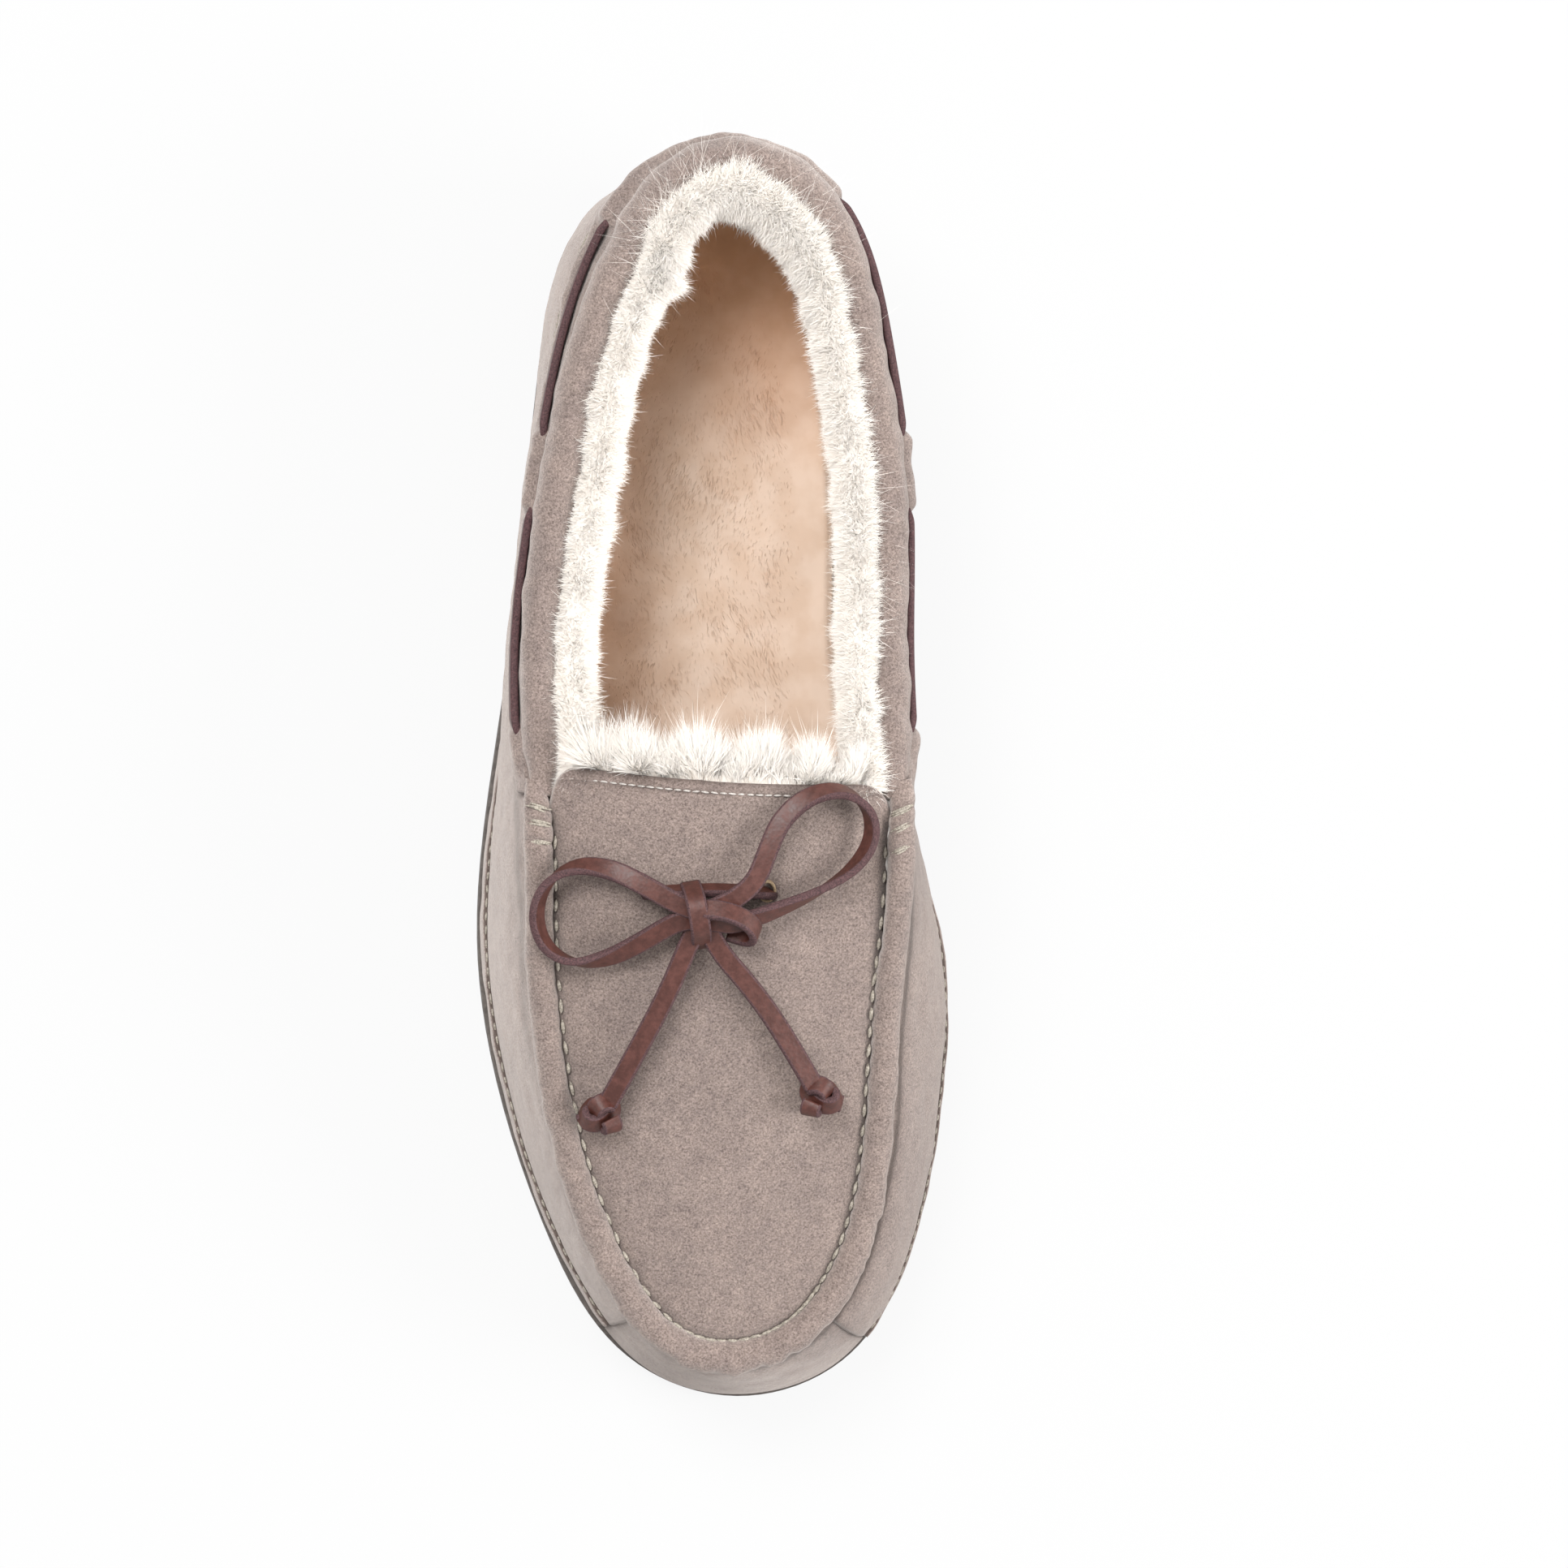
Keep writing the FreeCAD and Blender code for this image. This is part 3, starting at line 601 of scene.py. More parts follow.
def upper_panel(name, u_range, columns, **feet):
    """A panel of the wall. Its seam attribute paints shade along the foot, at the ends, in the
    crease below the roll and under the cuff's lower edge.
    """
    u, v = np.meshgrid(np.linspace(*u_range, columns), np.linspace(0, 0.985, 46), indexing="ij")
    to_ends = np.minimum(u - u_range[0], u_range[1] - u)
    u = u - SEAM_SLANT * (1 - v) * np.exp(-((u - TOE_CAP[0]) / 0.03) ** 2)
    base = wall(u, v, 0.0, **feet)
    push = 0.28 * unevenness(base, 26, 5) + 0.10 * unevenness(base, 7, 6) + gathers(u, v)
    push = push * smooth(0, 0.12, v)
    outer = wall(u, v, push, **feet)
    inner = wall(u, v, -SUEDE_THICK, **feet)
    from_edge = np.linalg.norm((base - top_edge(u))[..., :2], axis=-1)
    # Painted shade in the crease below the apron roll, under the cuff's lower edge, along the foot of
    # the wall and at the panel's ends.
    under_roll = np.exp(-((from_edge - LIP - 0.35) / 0.6) ** 2) * smooth(0.6, 0.8, v)
    at_back = smooth(0.243, 0.236, 0.5 - np.abs(np.mod(u, 1) - 0.5))
    under_cuff = np.exp(-((v - 0.684) / 0.011) ** 2) * at_back
    seam = 0.55 * np.exp(-v / 0.012) + 0.95 * under_roll * (1 - at_back) + 0.9 * under_cuff
    seam = seam + 0.5 * np.exp(-to_ends / 0.0016)
    piece = panel(name + "_suede", outer, inner, suede, seam=np.clip(seam, 0, 1))
    attach(piece, replaces=[name])


upper_panel("toe_cap", TOE_CAP, 150, foot_inset=0.0, foot=4.3)
upper_panel("quarter_medial", (PANEL_GAP, TOE_CAP[0] - PANEL_GAP), 420)
upper_panel("quarter_lateral", (TOE_CAP[1] + PANEL_GAP, 1 - PANEL_GAP), 420)

# %% [markdown]
# The foxing is a strip of suede folded round the edge of the sole. Its section is a tall D, walked
# once round, so the strip is one closed tube carried along the outline.


# %% Foxing band
def tube_along(name, section, material, **attributes):
    """A closed section, given as points at every step, joined into a tube with closed ends."""
    rows, columns = section.shape[:2]
    points = section.reshape(-1, 3)
    sides = grid_quads(rows, columns, close_columns=True)
    middles = section[[0, -1]].mean(axis=1)
    here = np.arange(columns)
    after = np.roll(here, -1)
    last_row = (rows - 1) * columns
    start_cap = np.stack([np.full(columns, rows * columns), after, here], -1)
    end_cap = np.stack([np.full(columns, rows * columns + 1), here + last_row, after + last_row], -1)
    values = {k: np.concatenate([np.broadcast_to(v, (rows, columns)).ravel(), [0, 0]])
              for k, v in attributes.items()}
    piece = make_mesh(name, np.concatenate([points, middles]), sides,
                      np.concatenate([start_cap, end_cap]), material, **values)
    return weld(piece)


def foxing_section(u):
    """D-shaped section: half width and half height of a rounded box, as a superellipse."""
    turn = np.linspace(0, 2 * np.pi, 28, endpoint=False)[None, :]
    squash = 0.35
    across = np.sign(np.cos(turn)) * np.abs(np.cos(turn)) ** squash
    upward = np.sign(np.sin(turn)) * np.abs(np.sin(turn)) ** squash
    u = np.repeat(u[:, None], turn.size, axis=1)
    inset = 1.15 - 1.1 * across
    plan, _ = outline(u, inset)
    height = np.broadcast_to(8.6 + 4.3 * upward, u.shape)[..., None]
    lumps = 0.12 * unevenness(np.concatenate([plan, height], -1), 9, 21)
    plan, _ = outline(u, inset - lumps * (across > 0))
    # The second value is a painted shade on top of the band, in the gap below the quarter's foot.
    return np.concatenate([plan, height], -1), 0.7 * (upward > 0.92) * (across < 0.6)


foxing_u = np.linspace(TOE_CAP[1] + PANEL_GAP, 1 + TOE_CAP[0] - SEAM_SLANT - PANEL_GAP, 640)
foxing_points, foxing_seam = foxing_section(foxing_u)
attach(tube_along("foxing_suede", foxing_points, suede, seam=foxing_seam),
       replaces=["foxing_band"])

# %% [markdown]
# ## Plug
# The plug is the flat top of a moccasin. Its rows run from side to side between two points of the
# apron seam, from the tongue's edge down to the toe, where the last row shrinks to a point. Near the
# seam the suede is pulled down into the stitches.

# %% Plug
ROLL_RADIUS = 2.9
PLUG_INSET = ROLL_RADIUS - 0.25
TONGUE_CORNERS = (np.array([27.6, -2.6]), np.array([-34.0, 0.6]))
HOLES = np.array([(6.7, -23.7), (-16.1, -23.7)])
CORNER_ROWS = 22


def plug_edges():
    """Left and right end of every row: round each tongue corner first, then down the seam."""
    u = mix(0.254, 0.5, np.linspace(0, 1, 150) ** 0.85)
    medial = top_edge(u, -PLUG_INSET)[:, :2]
    lateral = top_edge(1 - u, -PLUG_INSET)[:, :2]
    turn = np.linspace(0, np.pi / 2, CORNER_ROWS, endpoint=False)
    rounded = []
    for first, corner, side in ((medial[0], TONGUE_CORNERS[0], 1), (lateral[0], TONGUE_CORNERS[1], -1)):
        inner_x = corner[0] - 3.5 * side
        x = inner_x + (first[0] - inner_x) * np.sin(turn) ** 0.85
        y = first[1] + (corner[1] - first[1]) * np.cos(turn) ** 0.85
        rounded.append(np.stack([x, y], -1))
    return np.concatenate([rounded[0], medial]), np.concatenate([rounded[1], lateral])


def nearest(points, line):
    """Distance of every point to the nearest point of a line, in plan."""
    flat = points.reshape(-1, 1, 2)
    gaps = [np.linalg.norm(block - line[None], axis=-1).min(1) for block in np.array_split(flat, 40)]
    return np.concatenate(gaps).reshape(points.shape[:-1])


medial_edge, lateral_edge = plug_edges()
across = 0.5 - 0.5 * np.cos(np.pi * np.linspace(0, 1, 131))
across = mix(np.linspace(0, 1, 131), across, 0.5)
plug_plan = mix(lateral_edge[:, None, :], medial_edge[:, None, :], across[None, :, None])
sag = 1.1 * np.sin(np.pi * across)[None, :] * smooth(0.16, 0, np.linspace(0, 1, len(plug_plan)))[:, None]
plug_plan[..., 1] -= sag
seam_line = np.concatenate([medial_edge[CORNER_ROWS:], lateral_edge[CORNER_ROWS:][::-1]])
plug_depth = nearest(plug_plan, seam_line)
plug_top = np.concatenate([plug_plan, plug_height(plug_plan[..., 0], plug_plan[..., 1])[..., None]], -1)
pull = 1.25 * np.exp(-(plug_depth / 1.5) ** 1.5)
ripple = 0.16 * unevenness(plug_top, 17, 31) + 0.06 * unevenness(plug_top, 5, 32)
hole_gap = np.min([np.linalg.norm(plug_plan - hole, axis=-1) for hole in HOLES], axis=0)
plug_top[..., 2] += ripple * smooth(0, 4, plug_depth) - pull - 1.2 * np.exp(-(hole_gap / 1.5) ** 2)
from_tongue = plug_plan[:1, :, 1] - plug_plan[..., 1]
stitch_dent = np.exp(-((from_tongue - 2.3) / 0.4) ** 2)
plug_top[..., 2] -= 0.25 * stitch_dent
plug_under = plug_top - np.array([0, 0, SUEDE_THICK])
# Painted shade where the plug sinks: into the apron seam, round the lace holes, under the tongue's wool
# and in the stitch dent.
plug_seam = 0.6 * np.exp(-(plug_depth / 0.9) ** 2) + 0.8 * np.exp(-(hole_gap / 1.7) ** 2)
plug_seam += 0.5 * np.exp(-(from_tongue / 0.7) ** 2) + 0.3 * stitch_dent
attach(panel("plug_suede", plug_top, plug_under, suede, seam=np.clip(plug_seam, 0, 1)),
       replaces=["vamp_plug"])


# %% [markdown]
# ## Apron roll
# The quarters' edge is folded over and stands as a soft roll round the plug. It is a half-round
# carried along the top edge, pinched between the stitches.

# %% Apron roll
STITCH_COUNT = 66
TACKS = (0.2505, 0.2555, 0.262)
ROLL_RANGE = (0.2415, 0.7585)


def roll_size(u):
    """Half width and height of the roll: full at the toe, slimmer beside it, tucked in at its ends."""
    at_toe = np.exp(-((u - 0.505) / 0.09) ** 2)
    tucked = smooth(0, 0.012, np.minimum(u - ROLL_RANGE[0], ROLL_RANGE[1] - u))
    pinch = np.abs(np.sin(np.pi * STITCH_COUNT * (u - FRONT[0]) / (FRONT[1] - FRONT[0])))
    tacks = sum(np.exp(-((np.abs(u - 0.5) + tack - 0.5) / 0.0011) ** 2) for tack in TACKS)
    width = ROLL_RADIUS * (0.97 + 0.2 * at_toe) * mix(0.72, 1, tucked) * (1 - 0.08 * tacks)
    height = ROLL_RADIUS * (1.04 + 0.04 * pinch) * mix(0.55, 1, tucked) * (1 - 0.26 * tacks)
    return width, height, at_toe


def roll_section(u):
    """The roll's arch is steeper than a circle, and its outer lip is a raw, wavy edge that stands
    over the quarter. A flatter arch closes it underneath, and a painted shade darkens that underside."""
    turn = np.linspace(0, 2 * np.pi, 36, endpoint=False)[None, :]
    width, height, at_toe = (part[:, None] for part in roll_size(u))
    cos, sin = np.cos(turn), np.sin(turn)
    wave = unevenness(top_edge(u), 7, 44)[:, None] + 0.6 * unevenness(top_edge(u), 2.6, 45)[:, None]
    u = np.repeat(u[:, None], turn.size, axis=1)
    pleated = 0.3 + at_toe + 0.8 * np.exp(-((u - 0.43) / 0.04) ** 2)
    lip = smooth(0.55, 1, cos) * (0.15 + 0.2 * wave * pleated)
    outwards = width * np.sign(cos) * np.abs(cos) ** 0.95 + lip
    lift = np.where(sin > 0, 1.0, 0.35) * height * np.sign(sin) * np.abs(sin) ** 0.9
    points = top_edge(u, outwards, lift)
    swell = 1 + (0.14 * unevenness(points, 8, 41) + 0.05 * unevenness(points, 3, 42)) / 3
    return top_edge(u, outwards * swell, lift * swell), 0.75 * smooth(0.35, -0.1, sin)


roll_points, roll_seam = roll_section(np.linspace(*ROLL_RANGE, 760))
attach(tube_along("apron_roll_suede", roll_points, suede, seam=roll_seam),
       replaces=["apron_roll"])

# %% [markdown]
# ## Threads
# A stitch is a short twist of two plies that dives into the leather at both ends. One stitch is a
# small tube bent into an arch, and a seam repeats it along a path.


# %% Stitches
def stitches(name, middles, headings, ups, length, radius, material, rise=None, steps=5):
    """Arched capsules: the middle line rises as a parabola, and the radius closes at the ends.
    Sewn by hand, they differ a little in length, direction and in how deep they are drawn."""
    sides = 6
    s = np.linspace(-1, 1, steps)
    turn = np.linspace(0, 2 * np.pi, sides, endpoint=False)
    headings = unit(headings + 0.07 * CHAOS.normal(size=headings.shape))
    side = unit(np.cross(headings, ups))
    sunk = radius * CHAOS.uniform(-0.1, 0.8, (len(middles), 1))
    rise = radius * 0.9 if rise is None else rise
    arch = rise * (1 - s ** 2)[None] - radius * 0.4 - sunk
    girth = radius * np.sqrt(np.clip(1 - 0.9 * np.abs(s) ** 3, 0, 1))
    lengths = length * CHAOS.uniform(0.82, 1.1, (len(middles), 1))
    centre = (middles[:, None] + headings[:, None] * (s[None] * lengths / 2)[..., None]
              + ups[:, None] * arch[..., None])
    rim = (side[:, None, None] * (np.cos(turn) * girth[:, None])[None, ..., None]
           + ups[:, None, None] * (np.sin(turn) * girth[:, None])[None, ..., None])
    points = (centre[:, :, None] + rim).reshape(-1, 3)
    one = grid_quads(steps, sides, close_columns=True)
    per = steps * sides
    quads = (one[None] + per * np.arange(len(middles))[:, None, None]).reshape(-1, 4)
    ends = np.concatenate([centre[:, 0], centre[:, -1]])
    index, here = np.meshgrid(np.arange(len(middles)), np.arange(sides), indexing="ij")
    after = (here + 1) % sides
    tip = len(points) + index
    first = np.stack([tip, per * index + after, per * index + here], -1)
    start = per * index + per - sides
    last = np.stack([tip + len(middles), start + here, start + after], -1)
    tris = np.concatenate([first.reshape(-1, 3), last.reshape(-1, 3)])
    return make_mesh(name, np.concatenate([points, ends]), quads, tris, material)


UP = np.array([0.0, 0, 1])


def square_to(headings, ways):
    """The ways made square to the headings."""
    return unit(ways - headings * (ways * headings).sum(-1, keepdims=True))


def apron_seam(t):
    u = mix(FRONT[0] + 0.008, FRONT[1] - 0.008, t)
    points = top_edge(u, -ROLL_RADIUS - 0.35)
    points[:, 2] = plug_height(points[:, 0], points[:, 1]) - 0.15
    return points


def tongue_seam(t):
    x = mix(-28.5, 22.0, t)
    y = mix(TONGUE_CORNERS[1][1], TONGUE_CORNERS[0][1], t) - 2.3 - 1.0 * np.sin(np.pi * t)
    return np.stack([x, y, plug_height(x, y) + 0.05], -1)


def foxing_seam_line(t):
    u = mix(TOE_CAP[1] + 0.004, 1 + TOE_CAP[0] - SEAM_SLANT - 0.004, t)
    plan, _ = outline(u, 0.75)
    return np.concatenate([plan, np.full((len(plan), 1), 12.95)], 1)


def cuff_seam_line(t):
    return wall(mix(-0.222, 0.222, t), 0.7, 1.05)


def back_seam_line(t):
    return wall(np.zeros_like(t), mix(0.05, 0.62, t), 0.05)


SEAMS = [
    ("apron_stitches", "apron_stitching", apron_seam, STITCH_COUNT, 2.7, 0.42, thread, UP),
    ("tongue_stitches", "tongue_topstitch", tongue_seam, 28, 1.5, 0.22, pale_thread, UP),
    ("foxing_stitches", "foxing_stitching", foxing_seam_line, 190, 2.0, 0.26, thread, UP),
    ("cuff_stitches", "cuff_stitching", cuff_seam_line, 142, 1.9, 0.24, thread, UP),
    ("back_stitches", "back_seam_stitching", back_seam_line, 12, 1.9, 0.26, thread,
     np.array([0.0, 1, 0])),
]
for name, stands_for, place, count, length, radius, material, way in SEAMS:
    t = (np.arange(count) + 0.5) / count
    headings = unit(place(t + 0.002) - place(t - 0.002))
    attach(stitches(name, place(t), headings, square_to(headings, way), length, radius, material),
           replaces=[stands_for])

TACK_STRANDS = 3
for name, sign in (("medial", 1), ("lateral", -1)):
    tack_u = np.repeat(TACKS, TACK_STRANDS) + np.tile([-0.0006, 0.0, 0.0007], 3)
    tack_u = tack_u if sign > 0 else 1 - tack_u
    middles = top_edge(tack_u, -0.1, 1.7)
    headings = unit(top_edge(tack_u, 1) - top_edge(tack_u, 0)) + np.array([0, 0.16, 0])
    attach(stitches(f"bar_tacks_{name}_thread", middles, headings, np.tile(UP, (len(tack_u), 1)),
                    5.0, 0.28, thread, 1.15, 9), replaces=[f"bar_tacks_{name}"])

# %% [markdown]
# ## Collar
# The collar's cuff is a strip of suede that starts on the quarter, covers the collar lace where it
# runs through its tunnels, and rolls over the top edge into the wool. The lace shows through four
# long slits, where it lies on the suede.

# %% Cuff
COLLAR = (-0.2455, 0.2455)
WINDOWS = [(-0.228, -0.152), (-0.13, -0.045), (0.045, 0.13), (0.152, 0.228)]
SKIRT_SHARE = 0.42


def window(u):
    """1 where the lace lies outside the suede, 0 inside a tunnel, with short slopes between."""
    return sum(smooth(a - 0.001, a + 0.006, u) * smooth(b + 0.001, b - 0.006, u) for a, b in WINDOWS)


def cuff_grid(u, b, shrink):
    """A skirt on the wall for the first part of b, then a half round over the top edge. In the slits
    the skirt sinks under the lace, and towards the collar's ends the whole cuff narrows."""
    u, b = np.meshgrid(u, b, indexing="ij")
    full = smooth(0, 0.022, COLLAR[1] - np.abs(u))
    t = np.clip(b / SKIRT_SHARE, 0, 1)
    band = np.exp(-((t - 0.5) / 0.27) ** 2)
    push = 1.7 + (1.7 * (1 - window(u)) - 0.9 * window(u)) * band * full - 0.9 * smooth(0.12, 0, t)
    skirt = wall(u, mix(mix(0.8, 0.69, full), 0.945, t), push - shrink)
    turn = np.pi * np.clip((b - SKIRT_SHARE) / (1 - SKIRT_SHARE), 0, 1)
    half = (4.3 - 0.3 * window(u) * full) * mix(0.62, 1, full) - shrink
    rise = 4.9 * mix(0.45, 1, full) - shrink
    cap = top_edge(u, -1.4 + half * np.cos(turn), -0.6 + rise * np.sin(turn))
    return np.where((b < SKIRT_SHARE)[..., None], skirt, cap), u, t


cuff_u = np.linspace(*COLLAR, 540)
cuff_b = np.concatenate([np.linspace(0, SKIRT_SHARE, 20, endpoint=False),
                         np.linspace(SKIRT_SHARE + 0.03, 1, 26)])
cuff_outer, cuff_u_grid, cuff_t = cuff_grid(cuff_u, cuff_b, 0.0)
cuff_inner, _, _ = cuff_grid(cuff_u, cuff_b, 1.2)
wrinkle = 0.22 * unevenness(cuff_outer, 11, 51) + 0.10 * unevenness(cuff_outer, 4, 52)
cuff_outer = cuff_outer + unit(cuff_outer - cuff_inner) * wrinkle[..., None]
slit = window(cuff_u_grid) * np.exp(-((cuff_t - 0.5) / 0.22) ** 2)
cuff_shade = 0.85 * smooth(0.1, 0, cuff_t) + 0.4 * slit
attach(panel("cuff_suede", cuff_outer, cuff_inner, suede, seam=cuff_shade),
       replaces=["collar_cuff", "collar_casing"])

# %% [markdown]
# ## Lace
# A flat lace is a rounded rectangle carried along a path. The path gives its place, and one angle
# along it says how the lace leans: 0 lies flat, 90 stands on its edge.

# %% Lace section and ribbon
LACE_WIDTH = 4.1
LACE_THICK = 1.6


def lace_section():
    """Points once round the lace's section and, for each, whether it is on the cut edge."""
    half_width, half_thick = LACE_WIDTH / 2, LACE_THICK / 2
    flat = np.linspace(-1, 1, 7) * (half_width - 0.55)
    corner = np.array([(0.42, 1.0), (0.22, 0.9), (0.06, 0.62), (0.0, 0.22)])
    right = np.array([(half_width - a, half_thick * b) for a, b in corner])
    top = np.stack([flat, np.full(7, half_thick)], -1)
    upper = np.concatenate([np.stack([-right[::-1, 0], right[::-1, 1]], -1), top, right])
    whole = np.concatenate([upper, upper[::-1] * [1, -1]])
    edge = (np.abs(whole[:, 0]) > half_width - 0.5).astype(float)
    return whole, edge


SECTION, SECTION_EDGE = lace_section()


def ribbon(name, path, normals, lean=0.0, scale=1.0):
    """Carries the lace section along the path. The frame is the path's heading, the given normal
    made square to it, and their cross product; lean turns the section about the heading."""
    headings = unit(np.gradient(path, axis=0))
    ups = square_to(headings, normals)
    sides = np.cross(headings, ups)
    lean = np.broadcast_to(np.radians(lean), len(path))[:, None]
    width_way = sides * np.cos(lean) + ups * np.sin(lean)
    face_way = ups * np.cos(lean) - sides * np.sin(lean)
    points = (path[:, None] + width_way[:, None] * (SECTION[None, :, :1] * scale)
              + face_way[:, None] * (SECTION[None, :, 1:] * scale))
    return tube_along(name, points, lace_leather, edge=SECTION_EDGE)


def away(u):
    """The direction square to the top edge, outwards in plan."""
    return unit(top_edge(u, 1.0) - top_edge(u, 0.0))


def collar_path(u):
    """The collar lace rides outside the suede in the slits and dives below it in the tunnels."""
    outside = window(u)
    return wall(u, mix(0.822, 0.838, outside), mix(0.8, 2.0, outside))


lace_u = np.linspace(-0.234, 0.234, 900)
attach(ribbon("collar_lace_leather", collar_path(lace_u), away(lace_u)),
       replaces=["collar_lace"])

# %% [markdown]
# ## The bow
# The bow is tied in the flat lace. Each loop and each tail is a free cord: its route is a NURBS
# spline through few points, read back as a fine line, and the lace is carried along that line. It
# starts inside the knot.


# %% Bow cords
def spline_line(route):
    """Points of the order-three NURBS spline that has the route's points as its controls."""
    data = bpy.data.curves.new("route", "CURVE")
    data.dimensions = "3D"
    spline = data.splines.new("NURBS")
    spline.points.add(len(route) - 1)
    spline.points.foreach_set("co", np.c_[np.array(route), np.ones(len(route))].ravel())
    spline.order_u = 3
    spline.use_endpoint_u = True
    spline.resolution_u = 12
    holder = bpy.data.objects.new("route", data)
    line = bpy.data.meshes.new_from_object(holder)
    points = np.empty(len(line.vertices) * 3)
    line.vertices.foreach_get("co", points)
    bpy.data.objects.remove(holder)
    return points.reshape(-1, 3)


def plug_normal(points):
    """The plug's outward direction below each point."""
    slope_y = 0.2 - 2 * 0.00085 * points[:, 1]
    slope_x = -2 * 0.006 * (points[:, 0] + 3)
    return unit(np.stack([-slope_x, -slope_y, np.ones(len(points))], -1))


LOOP_LATERAL = [
    (-13.2, -25.2, 66.8), (-18.4, -22.2, 66.2), (-24.5, -19.2, 64.8), (-31.5, -18.4, 63.3),
    (-37.2, -21.8, 62), (-39.4, -28.2, 60.9), (-37.4, -34.8, 59.8), (-31.5, -38.2, 58.6),
    (-24.5, -37, 60), (-18.4, -33.8, 62.8), (-13.2, -30.5, 65.8)]
LOOP_MEDIAL = [
    (0.5, -24.8, 67.4), (4.2, -21.4, 67.5), (6.4, -15.4, 67.6), (9, -9.4, 67.6),
    (14.5, -4.6, 68.2), (21.3, -3.4, 67.2), (26.8, -7.2, 65.4), (27.6, -13.6, 64),
    (23.8, -19.4, 63.2), (17, -23.8, 63.6), (8.5, -27.4, 65), (0.2, -30.2, 66.4)]
TAIL_LATERAL = [(-9.4, -34.8, 64.2), (-12.8, -43.4, 61.6), (-18.2, -54.4, 57.6), (-24.2, -65.8, 52.6)]
TAIL_MEDIAL = [(-3.6, -34.9, 64.2), (3.4, -42.6, 61.6), (10, -51.4, 58.2), (16.6, -62.4, 54.2)]
# Each cord: its route, the body it is named for, its lean in degrees at even steps along it, what
# its far end does, and the two points that mark its bend from the slipper to that body.
BOW = {
    "loop_lateral": ([(-7.6, -27.4, 67.0), (-10.4, -26.6, 67.2)] + LOOP_LATERAL
                     + [(-10.4, -29.4, 66.2), (-7.6, -29.2, 66.0)], "lateral_loop",
                     [0, -4, -16, -48, -84, -104, -100, -86, -44, -14, -4, 0], "object",
                     ((-11, -28, 66.5), (-19, -28, 64.5))),
    "loop_medial": ([(-7.4, -28.4, 66.6), (-3.4, -26.7, 67.1)] + LOOP_MEDIAL
                    + [(-3.4, -29.8, 66.0), (-7.4, -29.4, 65.6)], "medial_loop",
                    [0, 4, 8, 20, 40, 68, 92, 104, 84, 58, 38, 16, 6], "object",
                    ((-1.5, -27.5, 67), (6.5, -26, 67))),
    "tail_lateral": ([(-7.4, -30.2, 65.2)] + TAIL_LATERAL, "lateral_tail", [0, -4, -6, -4], "knot",
                     ((-8.2, -32.5, 64.8), (-11.2, -39, 62.6))),
    "tail_medial": ([(-5.6, -30.4, 65.2)] + TAIL_MEDIAL, "medial_tail", [0, 3, 5, 4], "knot",
                    ((-4.6, -32.5, 64.8), (-0.6, -39, 62.6))),
}
CORD_STEPS = 150
bow_lines = {}
for name, (route, body, leans, _, bend) in BOW.items():
    line = spline_line(route)
    travelled = np.r_[0, np.cumsum(np.linalg.norm(np.diff(line, axis=0), axis=1))]
    even = np.linspace(0, travelled[-1], CORD_STEPS)
    line = np.stack([np.interp(even, travelled, line[:, k]) for k in range(3)], -1)
    lean = np.interp(np.linspace(0, 1, CORD_STEPS), np.linspace(0, 1, len(leans)), leans)
    lean = np.convolve(np.pad(lean, 8, mode="edge"), np.ones(17) / 17, "valid")
    piece = ribbon(name + "_lace", line, plug_normal(line), lean)
    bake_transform(piece)
    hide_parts(name)
    bow_lines[name] = line
    print(name, "is", round(travelled[-1], 1), "mm long")

# %% [markdown]
# The knot is two straps of lace drawn tight: one wraps over everything from heel side to toe side,
# and one lies across towards the medial loop. Below them a bridge of lace runs between the holes.


# %% Knot, bridge and end knots
STRAP_STEPS = 60


def arch(start, end, height, power=2.2):
    """A strap's middle line: straight in plan, and rising as a flattened parabola."""
    s = np.linspace(-1, 1, STRAP_STEPS)
    line = mix(np.array(start, float), np.array(end, float), ((s + 1) / 2)[:, None])
    line[:, 2] += height * (1 - np.abs(s) ** power)
    return line


wrap = arch((-8.6, -22.4, 62.4), (-6.4, -34.4, 61.4), 7.7, power=3.0)
strap = spline_line([(-8.6, -27.4, 65.6), (-7.4, -27.2, 68.6), (-3.6, -27.3, 70.0), (0.4, -28.4, 69.8),
                     (3.4, -30.4, 68.4), (4.4, -32.6, 65.4), (2.2, -32.8, 62.6), (-1.0, -31.6, 62.2)])
strap_way = unit(strap - np.array([-2.0, -30.9, 63.4]))
bridge_x = np.linspace(-16.6, 7.2, STRAP_STEPS)
bridge_y = -23.9 + 0.5 * np.sin(np.linspace(0, np.pi, STRAP_STEPS))
dive = 2.6 * np.abs(np.linspace(-1, 1, STRAP_STEPS)) ** 14
bridge = np.stack([bridge_x, bridge_y, plug_height(bridge_x, bridge_y) + 1.0 - dive], -1)


def join(name, parts):
    """One piece made of several ribbons."""
    bpy.ops.object.select_all(action="DESELECT")
    for part in parts:
        part.select_set(True)
    bpy.context.view_layer.objects.active = parts[0]
    bpy.ops.object.join()
    parts[0].name = name
    return parts[0]


under = arch((-11.0, -28.0, 63.4), (-1.4, -28.4, 63.6), 1.6)
under_tails = arch((-7.6, -25.5, 63.0), (-6.0, -34.0, 62.6), 1.4)
knot_parts = [ribbon("wrap", wrap, UP), ribbon("strap", strap, strap_way),
              ribbon("under", under, UP, 6), ribbon("under_tails", under_tails, UP)]
bow_knot = attach(join("bow_knot_lace", knot_parts), replaces=["bow_knot"])
attach(ribbon("lace_bridge_lace", bridge, UP, 62), replaces=["lace_bridge"])


